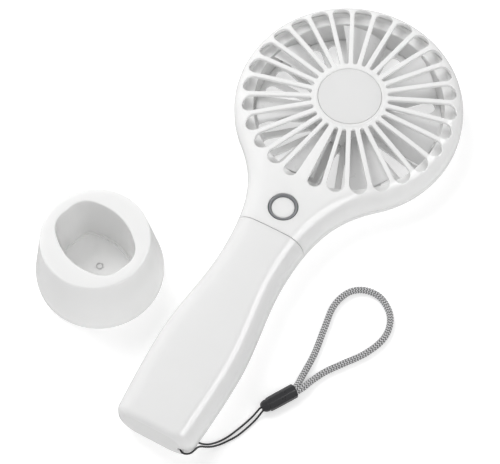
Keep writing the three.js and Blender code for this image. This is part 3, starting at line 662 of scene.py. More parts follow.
class Round:
    """A round feature in a face: a lip of (radius, height over the face), then rows of (radius,
    height over the table). It goes right through, or is capped on both sides."""

    def __init__(self, middle, radius, lip, rows=(), under=None, count=48):
        self.middle, self.count = np.array(middle), count
        self.lip, self.rows, self.under = lip, rows, under
        self.plan = circle(radius, 0, count, middle)[:, :2]

    def loops(self, rows):
        return [circle(radius, height, self.count, self.middle) for radius, height in rows]

    def build(self, shell, edge, top, bottom):
        lip = self.loops(self.lip)
        for loop in lip:
            loop[:, 2] += edge.height(loop[:, :2], from_outline(loop[:, :2])[0])
        upper = [top] + [shell.add(loop) for loop in lip + self.loops(self.rows)]
        if self.under is None:
            shell.join([*upper, bottom])
            return
        shell.join(upper)
        shell.cap(upper[-1])
        lower = [bottom] + [shell.add(loop) for loop in self.loops(self.under)]
        shell.join(lower)
        shell.cap(lower[-1])


def triangulated(points, loops, keep):
    """Triangles over the plan, whose middles pass the test."""
    edges = [(int(a), int(b)) for loop in loops for a, b in zip(loop, np.roll(loop, -1))]
    verts = [Vector(point) for point in points.tolist()]
    made = delaunay_2d_cdt(verts, edges, [], 0, 1e-7)
    origin = [sources[0] for sources in made[3]]
    triangles = np.array([[origin[i] for i in face] for face in made[2]])
    middles = points[triangles].mean(1)
    return triangles[keep(middles)]


def spare_points(outer, holes, rings, inset, low_y):
    """Points between the loops: rows beside the rim and an even field over the rest."""
    xs = np.arange(-FIELD_REACH, FIELD_REACH, FIELD_PITCH)
    ys = np.arange(low_y + 0.7, FIELD_REACH, FIELD_PITCH * 0.866)
    field = np.array([(x + FIELD_PITCH / 2 * (j % 2), y) for j, y in enumerate(ys) for x in xs])
    field = field[inside(field, outer)]
    field = field[from_outline(field)[0] > rings[-1] + 0.5]
    edging = np.concatenate([inset(distance)[1:-1] for distance in rings[1:]])
    found = []
    for points, room in ((edging, 0.3), (field, 0.75)):
        clear = np.ones(len(points), bool)
        for hole in holes:
            middle = hole.mean(0)
            reach = np.linalg.norm(hole - middle, axis=1).max() + room
            close = np.flatnonzero(clear & (((points - middle) ** 2).sum(1) < reach**2))
            if len(close) == 0:
                continue
            gap = np.sqrt(((points[close][:, None] - hole[None]) ** 2).sum(2)).min(1)
            clear[close[(gap < room) | inside(points[close], hole)]] = False
        found.append(points[clear])
    return np.concatenate(found)


# Distances in from the rim of the rows of points beside it.
EDGE_RINGS = [1.5, 2.05, 2.7, 3.3]
FIELD_PITCH, FIELD_REACH = 1.3, 52
LIP = 0.15


def cover(edge, cut, split, features):
    """Half of the head and neck: a faced shell with its features, its rim and its cut end."""
    shell = Shell()
    rim, normal = rim_above(cut)

    def inset(distance):
        return rim - normal * distance

    start = edge.arc(30)[0]
    rings = [start, *EDGE_RINGS]
    outer = inset(start)
    sides = np.array([inset(distance)[0, 0] for distance in rings[1:]])
    across = np.linspace(-sides[-1], sides[-1], 21)[1:-1]
    ends = np.concatenate([-sides, across, sides[::-1]])
    chain = level(ends[:, None], cut)
    holes = [feature.plan for feature in features]
    domain = np.concatenate([outer, chain])
    spare = spare_points(domain, holes, rings, inset, cut)
    plan = np.concatenate([domain, *holes, spare])
    bounds = np.cumsum([0, len(domain)] + [len(hole) for hole in holes])
    loops = [np.arange(a, b) for a, b in zip(bounds, bounds[1:])]

    def keep(middles):
        wanted = inside(middles, domain)
        for hole in holes:
            wanted &= ~inside(middles, hole)
        return wanted

    triangles = triangulated(plan, loops, keep)
    distance, inward = from_outline(plan)
    chained = np.arange(len(outer), len(domain))
    inward[chained] = np.column_stack([-np.sign(plan[chained, 0]), np.zeros(len(chained))])
    inward[:len(outer)] = -normal
    distance[:len(outer)] = start
    height = edge.height(plan, distance)
    top = shell.add(np.column_stack([plan, height]))
    # Inside, the outermost points draw in to stand on the wall's inner face.
    ratio = (rings[-1] - FRONT_WALL) / (rings[-1] - start)
    deeper = np.where(distance < rings[-1], FRONT_WALL + ratio * (distance - start), distance)
    under = plan + inward * (deeper - distance)[:, None]
    low = edge.height(under, deeper, FRONT_WALL)
    low = edge.sign * np.maximum(edge.sign * low, edge.sign * (split + edge.sign * LIP))
    bottom = shell.add(np.column_stack([under, low]))
    shell.faces += top[triangles].tolist() + bottom[triangles[:, ::-1]].tolist()
    for feature, loop in zip(features, loops[1:]):
        feature.build(shell, edge, top[loop], bottom[loop])

    rows = [top[:len(outer)]]
    profile = [edge.arc(degrees) for degrees in (22.5, 15, 7.5, 1.9)]
    if edge.sign > 0:
        profile += [(0, edge.middle), (0, edge.middle - 1.1), (0, split + LIP)]
    profile += [(LIP, split), (FRONT_WALL - LIP, split)]
    if edge.sign > 0:
        profile += [(FRONT_WALL, split + LIP)]
    for distance, height in profile:
        rows.append(shell.add(level(inset(distance), height)))
    rows.append(bottom[:len(outer)])
    shell.join(rows, closed=False)
    shell.faces.append(tuple(int(row[0]) for row in rows))
    shell.faces.append(tuple(int(row[-1]) for row in rows[::-1]))
    joint = [len(outer) - 1, *chained, 0]
    shell.bridge(top[joint], bottom[joint], closed=False)
    return shell


# ---- front cover ----
SLOT_ENDS = (16.9, 47.9)
SLOT_INNER_HALF, SLOT_OUTER_HALF = 0.95, 3.9
# The spoke above the neck is wider, so the two slots beside it are turned away and slimmer.
SPOKE_SHIFT, SPOKE_SLOT_HALF = 1.1, 3.05


def front_slots():
    pitch = 360 / FRONT_SLOTS
    slots = []
    for i in range(FRONT_SLOTS):
        shift = {0: SPOKE_SHIFT, FRONT_SLOTS - 1: -SPOKE_SHIFT}.get(i, 0)
        half = SPOKE_SLOT_HALF if shift else SLOT_OUTER_HALF
        slots.append(Slot(*SLOT_ENDS, SLOT_INNER_HALF, half, -90 + pitch * (i + 0.5) + shift))
    return slots


def face_height(point, distance):
    return float(FRONT.height(np.array([point]), np.array([distance]))[0])


def hub_feature():
    """A slim raised ring round a recess for the badge."""
    face = face_height((HUB_RADIUS, 0.0), 30.0)
    lip = [
        (15.8, 0.03), (15.68, 0.14), (15.5, 0.22), (15.25, 0.26),
        (14.75, 0.26), (14.45, 0.2), (14.3, 0.08), (14.2, -0.1),
    ]
    recess = [(14.2, face - 1.1), (13.2, face - 1.15), (8, face - 1.15)]
    return Round((0, 0), 15.95, lip, recess, [(15.8, face - 3.2), (8, face - 3.2)], 112)


def button_hole():
    lip = [(6.8, -0.03), (6.68, -0.12), (6.61, -0.28), (6.6, -0.5), (6.6, -1.6)]
    return Round(BUTTON, 6.95, lip, count=72)


def stadium(grow, x, y_middle, z_middle, half, radius, count=20):
    """A loop across the body for the charging port."""
    turn, reach = np.linspace(-np.pi / 2, np.pi / 2, count), radius + grow
    right = np.column_stack([half + reach * np.cos(turn), reach * np.sin(turn)])
    loop = np.concatenate([right, -right])
    return np.column_stack([np.full(len(loop), x), y_middle + loop[:, 0], z_middle + loop[:, 1]])


PORT = {"y_middle": -66, "z_middle": 11.9, "half": 2.9, "radius": 1.6}


def make_front_cover():
    shell = cover(FRONT, COVER_END, SPLIT_FRONT, [*front_slots(), hub_feature(), button_hole()])
    obj = piece("front_cover_shell", shell, ["front_cover"], even=True)
    opening = Shell()
    opening.body([stadium(0.5, x, **PORT) for x in (-30, -12)])
    carve(obj, opening)


# ---- rear cover ----
PILLAR_RADIUS, PILLAR_TURN = 46.75, math.radians(30)
PILLAR_X, PILLAR_Y = PILLAR_RADIUS * math.cos(PILLAR_TURN), PILLAR_RADIUS * math.sin(PILLAR_TURN)
SCREW_PLACES = [(PILLAR_X, PILLAR_Y), (-PILLAR_X, PILLAR_Y), (13, -59), (-13, -59)]
CRADLE_PLACES = [(-4.5, -69), (4.5, -69)]
SCREW_FLOOR, CRADLE_FLOOR = 3.4, 1.75
REAR_SLOT = (17.5, 40.5, 0.9, 3.2)
REAR_SPOKE = 26
TUNNEL_ENDS = (-42.3, -13.7)
TUNNEL_HALF, TUNNEL_TOP, TUNNEL_WALL = 3.9, 4.8, 0.7


def counterbore(middle, floor):
    lip = [(2.3, 0.07), (2.2, 0.25)]
    return Round(middle, 2.5, lip, [(2.2, floor), (1.2, floor)], [(1.2, floor + 0.4)], 36)


def motor_cup():
    """The bore that takes the motor from behind, and the cup round it inside the cover."""
    rows = [
        (12.75, 0), (12.58, 0.08), (12.5, 0.3), (12.5, 13.3), (3.3, 13.3),
        (3.3, 14.8), (13.2, 14.8), (13.65, 14.6), (13.8, 14.2), (13.8, 2.5),
    ]
    return Round((0, 0), 14.2, [], rows, count=96)


def rear_slots():
    """Even slots, with one wide spoke over the wires."""
    pitch = (360 - REAR_SPOKE) / (REAR_SLOTS - 1)
    return [Slot(*REAR_SLOT, -90 + REAR_SPOKE / 2 + pitch * i) for i in range(REAR_SLOTS)]


def arch(half, top, radius):
    return rounded([(-half, 1.5), (-half, top, radius), (half, top, radius), (half, 1.5)])


def wire_tunnel(shell):
    """A low roof with rounded edges over the motor's wires, from the cup out to the duct."""
    outer = arch(TUNNEL_HALF, TUNNEL_TOP, 0.6)
    inner = arch(TUNNEL_HALF - TUNNEL_WALL, TUNNEL_TOP - TUNNEL_WALL, 0.3)
    loop = np.concatenate([outer, inner[::-1]])
    rows = shell.rows([
        np.column_stack([loop[:, 0], np.full(len(loop), y), loop[:, 1]]) for y in TUNNEL_ENDS
    ])
    for row in rows:
        shell.bridge(row[:len(outer)], row[:len(outer) - 1:-1], closed=False)


def make_rear_cover():
    bores = [counterbore(middle, SCREW_FLOOR) for middle in SCREW_PLACES]
    bores += [counterbore(middle, CRADLE_FLOOR) for middle in CRADLE_PLACES]
    shell = cover(REAR, COVER_END, SPLIT_REAR, [*rear_slots(), motor_cup(), *bores])
    duct = [
        (42.7, 1.6), (44.2, 1.6), (44.2, 14.3, 0.3), (48.7, 14.3, 0.2), (48.65, 15.3),
        (48.3, 16.1), (47.95, 16.7), (47.4, 16.7, 0.2), (46.6, 15.5, 0.5), (42.7, 15.5, 0.6),
    ]
    turned(shell, duct, count=160, hoop=True)
    wire_tunnel(shell)
    top = SPLIT_REAR - 0.1
    for middle in SCREW_PLACES:
        turned(shell, [(2.7, 3.2), (2.7, top, 0.3), (0.4, top)], middle, 32)
    piece("rear_cover_shell", shell, ["rear_cover"], even=True)


# ---- handle sleeve ----
FOOT_BACK, FOOT_FRONT = 4, 3
STRAP_HOLE = 1.5
SIDE_HOLE = (-168.8, 7)
END_HOLE = (13.5, 10.1)
FOOT_SCREW = (0, -168)


def squeeze(gone, radius):
    """How far a rounded end draws in, at a distance from the end."""
    left = np.clip(radius - gone, 0, None)
    return radius - math.sqrt(max(radius**2 - left**2, 0))


def half_section(wall):
    """Distances in from the side and heights, from the back's flat to the front's."""
    back = [REAR.arc(degrees, wall) for degrees in np.linspace(90, 0, 15)]
    front = [FRONT.arc(degrees, wall) for degrees in np.linspace(0, 90, 17)]
    return np.array([*back, (wall, 10.2), *front])


def section(y, wall=0.0):
    """The sleeve's loop at one place along the handle."""
    width = float(half_width(y))
    gone = y - (FOOT_Y + wall)
    draw = squeeze(gone, FOOT_BACK - wall)
    edge = half_section(wall)
    x, z = width - edge[:, 0], edge[:, 1]
    flat_back = np.linspace(0, x[0], 8)[:-1]
    flat_front = np.linspace(x[-1], 0, 9)[1:]
    x = np.concatenate([flat_back, x, flat_front])
    z = np.concatenate([np.full(7, wall), z, np.full(8, THICKNESS - wall)])
    rise = crown(width - x) * (z > FRONT.middle)
    x = x * (1 - draw / (width - wall))
    low = wall + draw
    high = THICKNESS - wall - squeeze(gone, FOOT_FRONT - wall)
    share = (z - wall) / (THICKNESS - 2 * wall)
    z = low + share * (high - low) + rise * min(1, max(gone, 0) / 8)
    half = np.column_stack([x, np.full(len(x), y), z])
    return np.concatenate([half, half[-2:0:-1] * (-1, 1, 1)])


def shrunk(loop, share):
    middle = loop.mean(0)
    return middle + (loop - middle) * share


def handle_stations(wall):
    start = FOOT_Y + wall
    turn = np.radians(np.linspace(0, 90, 12))
    bend = start + (FOOT_BACK - wall) * (1 - np.cos(turn))
    run = np.linspace(bend[-1], SLEEVE_END, 66)[1:]
    return np.concatenate([bend, run])


def make_handle():
    shell = Shell()
    outer = [section(y) for y in handle_stations(0)]
    rows = [shrunk(outer[0], share) for share in (0.2, 0.5, 0.8, 0.96)] + outer[:-1]
    end = outer[-1]
    rows += [end - (0, 0.15, 0), shrunk(end, 0.99)]
    inner = [section(y, SLEEVE_WALL) for y in handle_stations(SLEEVE_WALL)[::-1]]
    rows += inner + [shrunk(inner[-1], share) for share in (0.6, 0.2)]
    shell.body(rows)
    obj = piece("handle_sleeve_shell", shell, ["handle_sleeve"], even=True)
    cuts = Shell()
    hole = circle(STRAP_HOLE, 0, 28)
    cuts.body([hole[:, [2, 0, 1]] + (x, *SIDE_HOLE) for x in (12, 30)])
    x, z = END_HOLE
    cuts.body([hole[:, [0, 2, 1]] + (x, y, z) for y in (FOOT_Y - 5, FOOT_Y + 4)])
    cuts.body([circle(2.2, z, 36, FOOT_SCREW) for z in (-3, 2.3)])
    carve(obj, cuts)
    boss = [(0.5, 2.3), (2.2, 2.3), (2.2, 0.6), (3.5, 0.6, 0.3), (3.5, 4, 0.3), (0.5, 4)]
    piece("handle_screw_boss", turned(Shell(), boss, FOOT_SCREW, 36), [])


# ---- screws ----
THREAD_PITCH = 0.7
CROSS_LONG, CROSS_SHORT = 1.05, 0.2


def underside(node):
    return box_mm(node)[0][2]


def make_screw(name, middle, length, node):
    """A pan head with a cross recess, facing down, and a threaded shank."""
    low = underside(node)
    profile = [
        (0.3, low + 0.02), (1.2, low + 0.02, 0.3), (1.9, low + 0.45, 0.3), (1.9, low + 1.3, 0.1),
        (1.0, low + 1.3),
    ]
    for i in range(int(length / THREAD_PITCH)):
        z = low + 1.5 + THREAD_PITCH * i
        profile += [(0.82, z), (1.02, z + THREAD_PITCH / 2)]
    profile += [(0.7, low + 1.5 + length), (0.1, low + 1.7 + length)]
    obj = piece(name, turned(Shell(), profile, middle, 28), [node], "steel", crease=30)
    arm = np.array([
        (CROSS_LONG, -CROSS_SHORT), (CROSS_LONG, CROSS_SHORT), (CROSS_SHORT, CROSS_SHORT),
    ])
    quarters = [np.eye(2), np.array([(0, 1), (-1, 0)]), -np.eye(2), np.array([(0, -1), (1, 0)])]
    corners = np.concatenate([arm @ quarter for quarter in quarters])
    cross = Shell()
    cross.body([
        level(corners * scale + middle, z) for z, scale in ((low - 0.5, 1.1), (low + 0.75, 0.6))
    ])
    carve(obj, cross, 30)


def make_screws():
    for kind, places, length in (("cover", SCREW_PLACES, 9), ("cradle", CRADLE_PLACES, 5.2)):
        for i, middle in enumerate(places):
            node = f"{kind}_screw_{i + 1}"
            make_screw(f"{node}_head", middle, length, node)
    make_screw("handle_screw_head", FOOT_SCREW, 4.8, "handle_screw_1")


# ---- hub, button, port and motor cover ----
def make_badge():
    """A plain disc with a softly rounded edge, very slightly crowned."""
    top = BADGE_HIGH[2]
    edge = BADGE_RADIUS + 0.15
    corners = [(0.4, top - 1), (edge, top - 1, 0.1), (edge, top - 0.06, 0.14)]
    for radius in (12, 9, 6, 3, 0.4):
        corners.append((radius, top + 0.1 * (1 - (radius / BADGE_RADIUS) ** 2)))
    piece("hub_disc", turned(Shell(), corners, count=112), ["hub_badge"], even=True)


def make_button():
    """The ring slopes down to the gap round the button, whose top is slightly hollow."""
    face = face_height(BUTTON, 18.0)
    inner, outer = CAP_RADIUS + 0.35, 6.3
    ring = [
        (inner, face - 3.9), (outer, face - 3.9), (outer, face - 0.1, 0.3),
        (outer - 0.5, face - 0.02, 0.2), (inner + 0.2, face - 0.6, 0.15), (inner, face - 1.2, 0.2),
    ]
    shell = turned(Shell(), ring, BUTTON, 96, hoop=True)
    piece("button_bezel", shell, ["button_ring"], "ring_grey", even=True)
    top, edge = CAP_HIGH[2] + 0.35, CAP_RADIUS + 0.2
    cap = [(0.4, CAP_LOW[2]), (edge, CAP_LOW[2], 0.2), (edge, top, 0.3)]
    cap += [(radius, top + 0.03 - 0.12 * (1 - (radius / 4) ** 2)) for radius in (4, 3, 2, 1, 0.3)]
    shell = turned(Shell(), cap, BUTTON, 96)
    piece("button_disc", shell, ["button_cap"], body="power_button", even=True)


def make_port():
    """The charging socket's metal mouth with its tongue."""
    shell = Shell()
    stations = [
        (-8, -0.3), (-8, 0), (-15.3, 0), (-15.4, -0.1), (-15.4, -0.28), (-15.3, -0.35),
        (-9.2, -0.35),
    ]
    shell.body([stadium(grow, x, **PORT) for x, grow in stations])
    corners = ((-1, -1), (1, -1), (1, 1), (-1, 1))
    tongue = []
    for x, scale in ((-9, 1), (-14.4, 1), (-14.6, 0.8)):
        half, high = 2.4 * scale, 0.38 * scale
        tongue.append([(x, PORT["y_middle"] + a * half, PORT["z_middle"] + b * high)
                       for a, b in corners])
    shell.body(tongue)
    piece("charging_port", shell, ["usb_socket"], "steel")


def make_motor_cover():
    """The round lid behind the motor, with a groove, a dimple and two pin holes."""
    low = underside("motor_cover")
    corners = [
        (0.4, low + 1.1), (12.1, low + 1.1, 0.1), (12.1, low, 0.25), (9.6, low, 0.05),
        (9.4, low + 0.3, 0.05), (8.8, low + 0.3, 0.05), (8.6, low, 0.05), (3.2, low, 0.25),
        (2.8, low + 0.35, 0.25), (0.4, low + 0.35),
    ]
    obj = piece("motor_lid", turned(Shell(), corners, count=96), ["motor_cover"])
    pins = Shell()
    for side in (-1, 1):
        pins.body([circle(0.7, z, 24, (side * 5.8, 0)) for z in (low - 1, low + 0.6)])
    carve(obj, pins)


# ---- impeller ----
BLADES = 7
BLADE_ROOT, BLADE_TIP = 14.6, 44.3
IMPELLER_HUB, IMPELLER_RADIUS = 15.6, 41.3


def blade_loop(radius):
    """One blade's closed section, bent round the axis at one radius."""
    along = (radius - BLADE_ROOT) / (BLADE_TIP - BLADE_ROOT)
    chord, pitch = 13 + 11 * along, math.radians(44 - 20 * along)
    turn = np.linspace(0, 2 * np.pi, 40, endpoint=False)
    across = chord / 2 * np.cos(turn)
    lean = across / chord
    camber = 1.3 * (1 - 4 * lean**2) * 0.9
    thick = 0.62 * np.sin(turn) * (1 - 0.35 * lean)
    rise = camber + thick
    y = across * math.cos(pitch) - rise * math.sin(pitch) + 3 * along**2
    z = 11.4 + across * math.sin(pitch) + rise * math.cos(pitch)
    x = np.sqrt(np.clip(radius**2 - y**2, 1, None))
    return np.column_stack([x, y, z])


def make_impeller():
    hub = [
        (1.3, 14.9), (2.6, 14.9, 0.2), (2.6, 16.6, 0.3), (14.5, 16.6, 0.5), (14.5, 5.5, 0.2),
        (IMPELLER_HUB, 5.5, 0.3), (IMPELLER_HUB, 18, 1.4), (6, 18, 0.25), (5.6, 17.7, 0.2),
        (1.3, 17.7),
    ]
    shell = turned(Shell(), hub, count=96, hoop=True)
    radii = np.linspace(IMPELLER_HUB - 0.7, IMPELLER_RADIUS, 20)
    for i in range(BLADES):
        spin = np.eye(3)
        spin[:2, :2] = turning(2 * math.pi * i / BLADES)
        shell.body([blade_loop(radius) @ spin for radius in radii])
    piece("impeller_blades", shell, ["impeller"], "impeller_white", "rotor", crease=50)


# ---- wrist strap ----
STRING_ROUTE = [
    (32, -141.4, 2.4), (30.8, -145.6, 1), (29.4, -150, 0.7), (27.8, -154.4, 0.7),
    (25.9, -158.8, 0.7), (23.6, -162.6, 1), (21.2, -165.9, 2.8), (19.2, -167.8, 5),
    (17.4, -168.8, 7), (15.2, -169.8, 8.2), (13.5, -171.3, 9), (12.8, -173, 9.5),
    (12.95, -174.9, 9.9), (13.8, -176.3, 10.4), (15.2, -176.9, 10.8), (16.8, -176.4, 10.9),
    (18, -175, 10.4), (18.4, -173, 9.4), (18.6, -171, 7.8), (19.3, -169.3, 5.8),
    (20.9, -167.8, 3.8), (22.8, -165.8, 2), (24.8, -163.2, 0.9), (27, -160, 0.7),
    (29.2, -156.3, 0.7), (31.2, -151, 0.7), (32.6, -146.2, 0.9), (33.4, -142.6, 2.2),
]
LOOP_ROUTE = [
    (40.7, -126.3, 3), (40.6, -120, 1.9), (40.3, -108.6, 1.6), (38.5, -96, 1.6),
    (37.2, -84.8, 1.6), (39.8, -76.2, 1.6), (45.5, -71.8, 1.6), (53, -71.6, 1.6),
    (59.7, -76.2, 1.6), (62.7, -82.4, 1.6), (62.6, -89.8, 1.6), (59, -98.4, 1.6),
    (53.6, -106, 1.6), (48.2, -113.6, 1.6), (45, -120.2, 1.9), (43.4, -125.2, 3),
]
# Points inside the clip, put before and after each route, so that the drawn cord goes on into it.
STRING_ENDS = [(33.2, -139.6, 3), (34, -140.2, 3)]
BRAID_ENDS = [(39, -128.7, 3), (40.9, -129.9, 3)]
STRING_CORE, STRING_LOBE, STRING_PITCH = 0.36, 0.09, 3.2
BRAID_PITCH, BRAID_YARNS, BRAID_WEAVE = 7.5, 12, 0.15
BRAID_RADIUS, BRAID_CORE = 1.15, 0.98
YARN_HALF, YARN_THICK = 0.215, 0.2
SLIDER_NEAR = np.array([32.6, -141.5, 3.1])
SLIDER_FAR = np.array([41, -127.6, 3.1])


def smooth_line(route, spacing):
    """A Catmull-Rom curve through the route's points, with the spacing given."""
    points = np.array(route, float)
    padded = np.vstack([2 * points[0] - points[1], points, 2 * points[-1] - points[-2]])
    t = np.linspace(0, 1, 25)[:-1, None]
    found = []
    for a, b, c, d in zip(padded, padded[1:], padded[2:], padded[3:]):
        square, cube = 2 * a - 5 * b + 4 * c - d, 3 * b - a - 3 * c + d
        found.append(0.5 * (2 * b + (c - a) * t + square * t**2 + cube * t**3))
    return resampled(np.vstack([*found, points[-1]]), spacing)


def carried_frames(line):
    """Two directions across the line at each point, carried along it without twisting."""
    along = unit(np.gradient(line, axis=0))
    first = np.cross(along[0], (0, 0, 1))
    sides = []
    for direction in along:
        first = first - direction * (first @ direction)
        first = first / np.linalg.norm(first)
        sides.append(first)
    sides = np.array(sides)
    return sides, np.cross(along, sides)


def line_length(line):
    return float(np.linalg.norm(np.diff(line, axis=0), axis=1).sum())


def loop_at(point, one, other, x, y):
    """A flat loop at a point, spanned by two directions."""
    return point + np.outer(x, one) + np.outer(y, other)


def make_string():
    """A twisted string of three plies, drawn as one lobed section that turns as it goes."""
    spacing = 0.22
    line = smooth_line([STRING_ENDS[0], *STRING_ROUTE, STRING_ENDS[1]], spacing)
    turn = np.linspace(0, 2 * np.pi, 18, endpoint=False)
    lobes = STRING_CORE + STRING_LOBE * np.abs(np.cos(1.5 * turn)) ** 0.8
    twist = np.arange(len(line)) * spacing * 2 * math.pi / STRING_PITCH
    shell = Shell()
    shell.body([
        loop_at(point, a, b, lobes * np.cos(turn + angle), lobes * np.sin(turn + angle))
        for point, a, b, angle in zip(line, *carried_frames(line), twist)
    ])
    obj = piece("wrist_string", shell, ["strap_string"], "string_black", crease=80)


def strand_wave(step):
    """Over two strands and under two, as a smooth wave with a period of four crossings."""
    return np.clip(1.25 * np.cos(2 * np.pi * (step - 0.5) / 4), -1, 1)


def strand(line, frames, angle, wave, way):
    """The loops of one flat yarn that winds round the cord's middle line."""
    side, up, tangent = frames
    out = side * np.cos(angle)[:, None] + up * np.sin(angle)[:, None]
    around = up * np.cos(angle)[:, None] - side * np.sin(angle)[:, None]
    centre = line + out * (BRAID_RADIUS + BRAID_WEAVE * wave)[:, None]
    across = around - tangent * (way * 2 * math.pi * BRAID_RADIUS / BRAID_PITCH)
    across = unit(across)
    oval = np.linspace(0, 2 * np.pi, 6, endpoint=False)
    return [
        loop_at(c, a, o, YARN_HALF * np.cos(oval), YARN_THICK * np.sin(oval))
        for c, a, o in zip(centre, across, out)
    ]


def make_braid():
    """Twelve yarns each way, light and dark by turns, laid over two and under two."""
    line = smooth_line([BRAID_ENDS[0], *LOOP_ROUTE, BRAID_ENDS[1]], 0.24)
    side, up = carried_frames(line)
    frames = (side, up, np.cross(side, up))
    along = np.arange(len(line)) * line_length(line) / (len(line) - 1)
    shell = Shell()
    tones = []
    for way in (1, -1):
        for k in range(BRAID_YARNS):
            angle = 2 * np.pi * k / BRAID_YARNS + way * 2 * np.pi * along / BRAID_PITCH
            crossings = along / (BRAID_PITCH / (2 * BRAID_YARNS))
            wave = strand_wave(crossings + 2 * k) if way > 0 else -strand_wave(2 * k - crossings)
            shell.body(strand(line, frames, angle, wave, way))
            tones += [k % 2] * (len(shell.faces) - len(tones))
    ring = np.linspace(0, 2 * np.pi, 12, endpoint=False)
    shell.body([
        loop_at(point, a, b, BRAID_CORE * np.cos(ring), BRAID_CORE * np.sin(ring))
        for point, a, b in zip(line[::3], side[::3], up[::3])
    ])
    tones += [1] * (len(shell.faces) - len(tones))
    obj = piece("wrist_braid", shell, ["strap_loop"], "braid_grey", crease=80)
    obj.data.materials.append(BRAID_DARK)
    obj.data.polygons.foreach_set("material_index", tones)


def make_slider():
    """A moulded clip: bevelled along its upper edges, with a round nose where the string enters."""
    shell = Shell()
    span = SLIDER_FAR - SLIDER_NEAR
    length = np.linalg.norm(span)
    ahead = span / length
    across = np.array([-ahead[1], ahead[0], 0])
    facets = rounded([
        (1, -0.7, 0.1), (1, 0.25, 0.06), (0.36, 1, 0.06), (-0.36, 1, 0.06), (-1, 0.25, 0.06),
        (-1, -0.7, 0.1), (-0.8, -1, 0.1), (0.8, -1, 0.1),
    ])
    # Each station: distance from the nose, half width, half height and how round it is.
    stations = [
        (0.0, 0.9, 0.8, 1), (0.05, 1.4, 1.3, 1), (0.35, 1.9, 1.8, 1), (0.9, 2.25, 2.15, 0.8),
        (1.7, 2.5, 2.45, 0.6), (2.7, 2.65, 2.6, 0.5), (2.9, 2.5, 2.5, 0.4), (3.2, 2.5, 2.5, 0.2),
        (3.45, 2.8, 2.76, 0), (5, 2.88, 2.84, 0), (8, 2.92, 2.88, 0),
        (length - 0.5, 2.92, 2.88, 0), (length - 0.3, 2.9, 2.84, 0), (length, 2.65, 2.5, 0),
        (length, 1.2, 1.0, 0),
    ]
    circled = unit(facets)
    rows = []
    for along, half, high, roundness in stations:
        loop = facets * (1 - roundness) + circled * roundness
        centre = SLIDER_NEAR + ahead * along
        rows.append(loop_at(centre, across, (0, 0, 1), half * loop[:, 0], high * loop[:, 1]))
    shell.body(rows)
    return piece("strap_clip", shell, ["strap_slider"], "black_plastic", crease=24)


# ---- desk stand ----
SOCKET_LONG, SOCKET_SHORT, SOCKET_CORNER, SOCKET_BOW = 18.2, 11.2, 6, 3
SOCKET_FLOOR, SOCKET_DRAFT = 5.0, 1.62
MOUTH_FILLET = 0.6
STAND_TURN = -19.2


def quadratic(start, pull, end, steps):
    t = np.linspace(0, 1, steps + 1)[:-1, None]
    a, b, c = (np.array(point, float) for point in (start, pull, end))
    return (1 - t) ** 2 * a + 2 * t * (1 - t) * b + t * t * c


def socket_loop(grow):
    """The socket's plan: long sides that bow out, straight ends and round corners."""
    long, short, corner = SOCKET_LONG + grow, SOCKET_SHORT + grow, SOCKET_CORNER + grow
    corner = max(corner, 1.2)
    start = long - corner
    pull = short + 2 * SOCKET_BOW
    bend = short - 2 * SOCKET_BOW * corner / start
    half = np.concatenate([
        quadratic((-start, -short), (0, -pull), (start, -short), 44),
        quadratic((start, -short), (long, -bend), (long, corner - bend), 16),
        quadratic((long, corner - bend), (long, 0), (long, bend - corner), 8),
        quadratic((long, bend - corner), (long, bend), (start, short), 16),
    ])
    return np.concatenate([half, -half]) @ turning(math.radians(STAND_TURN))


def make_stand():
    """A thin-walled moulding: the socket with a step round its floor, the outside, the inside."""
    def at(loop, z):
        return level(loop + STAND_MIDDLE, z)

    floor = socket_loop(-3.0)
    rows = [at(floor * share, SOCKET_FLOOR) for share in (0.1, 0.4, 0.7, 0.9, 1)]
    step = [
        (-2.72, 0.08), (-2.6, 0.3), (-2.55, 0.85), (-2.5, 0.97), (-2.38, 1.0), (-1.8, 1.0),
        (-1.68, 1.1), (-SOCKET_DRAFT, 1.35),
    ]
    rows += [at(socket_loop(grow), SOCKET_FLOOR + rise) for grow, rise in step]
    low, high = SOCKET_FLOOR + 1.35, STAND_HEIGHT - MOUTH_FILLET
    for t in np.linspace(0, 1, 12)[1:]:
        rows.append(at(socket_loop(-SOCKET_DRAFT * (1 - t)), low + (high - low) * t))
    for degrees in (22.5, 45, 67.5, 90):
        turn = math.radians(degrees)
        lip = socket_loop(MOUTH_FILLET * (1 - math.cos(turn)))
        rows.append(at(lip, STAND_HEIGHT - MOUTH_FILLET * (1 - math.sin(turn))))
    lip = socket_loop(MOUTH_FILLET)
    around = unit(lip)
    rim = around * 22.5
    rows += [at(lip + (rim - lip) * share, STAND_HEIGHT) for share in (0.35, 0.7)]
    outside = rounded([
        (22.3, STAND_HEIGHT), (23.3, STAND_HEIGHT, 0.85), (27.5, 6.3, 1.2), (STAND_BASE, 3.8, 1.2),
        (27.7, 0, 0.9), (21.6, 0, 0.3), (21.5, 1.5, 0.3), (25.2, 5), (21.2, 30, 0.5),
    ], 9)
    rows += [at(around * radius, z) for radius, z in resampled(outside, 0.55)[1:]]
    # From its ceiling, the inside runs down the block that holds the socket, and closes under it.
    ceiling, block_end, limit = 30.3, 3.3, 21.0
    for t in (0, 0.5, 1):
        block = socket_loop(2.2 - 2.0 * t)
        reach = np.linalg.norm(block, axis=1)
        block = block * np.minimum(1, limit / reach)[:, None]
        rows.append(at(block, ceiling + (block_end - ceiling) * t))
    rows += [at(socket_loop(-0.4) * share, 2.8) for share in (1, 0.7, 0.3)]
    shell = Shell()
    shell.body(rows)
    mark = [(1.1, 4.9), (1.6, 4.9), (1.6, 5.13, 0.1), (1.1, 5.13, 0.1)]
    turned(shell, mark, STAND_MIDDLE, 48, hoop=True)
    piece("desk_stand_shell", shell, ["desk_stand"], body="desk_stand", even=True)


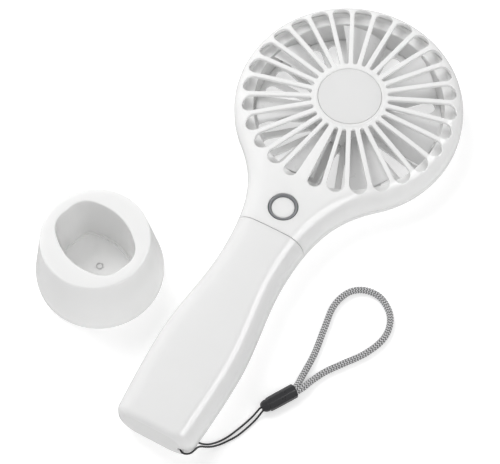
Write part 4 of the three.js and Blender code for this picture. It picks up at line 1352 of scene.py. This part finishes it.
# ---- everything that is seen ----
clip = make_slider()
make_string()
make_braid()
make_front_cover()
make_rear_cover()
make_handle()
make_badge()
make_button()
make_port()
make_motor_cover()
make_screws()
make_impeller()
make_stand()

# The inner works keep their CAD shapes, in the finish of their slot.
for name, obj in frame["nodes"].items():
    obj.data.materials.clear()
    obj.data.materials.append(MATERIALS[NODE_SLOTS[name]])


# ---- floor, lights and picture ----
FLOOR_HALF, FLOOR_STEPS = 1500.0, 12
FLOOR_TONE, FLOOR_GLOW = 0.75, 0.42


def make_floor():
    """A matt white floor with a weak glow of its own, as on a light table."""
    shell = Shell()
    grid = np.linspace(-FLOOR_HALF, FLOOR_HALF, FLOOR_STEPS + 1)
    shell.rows([[(x, y, 0) for x in grid] for y in grid], closed=False)
    mesh = sheet("floor", shell)
    white = plastic("floor_white", (FLOOR_TONE,) * 3, 0.8, 1200, 1e-6, 0.003)
    shader = white.node_tree.nodes["Principled BSDF"]
    shader.inputs["Emission Color"].default_value = (1, 1, 1, 1)
    shader.inputs["Emission Strength"].default_value = FLOOR_GLOW
    mesh.materials.append(white)
    floor = linked("floor", mesh)
    floor.visible_glossy = False


def make_light(name, where, target, power, wide, high):
    data = bpy.data.lights.new(name, "AREA")
    data.shape = "RECTANGLE"
    data.energy, data.size, data.size_y = power, wide, high
    light = linked(name, data)
    aim(light, place(where), target)
    return light


def make_lights():
    middle = place((0, -60, 0))
    key = make_light("key", (-530, 130, 690), middle, 4.4, 0.5, 0.5)
    fill = make_light("fill", (600, -300, 600), middle, 1.5, 0.6, 0.6)
    key.visible_glossy = fill.visible_glossy = False
    # A wide panel on the right shows only as a highlight along the glossy edges.
    panel = make_light("panel", (687, 190, 682), middle, 10, 1.2, 0.55)
    panel.visible_diffuse = False
    world = bpy.data.worlds.new("studio")
    world.use_nodes = True
    back = world.node_tree.nodes["Background"]
    back.inputs["Color"].default_value = (1, 1, 1, 1)
    back.inputs["Strength"].default_value = 0.5
    bpy.context.scene.world = world
    bpy.context.scene.view_settings.view_transform = "Standard"


make_floor()
make_lights()
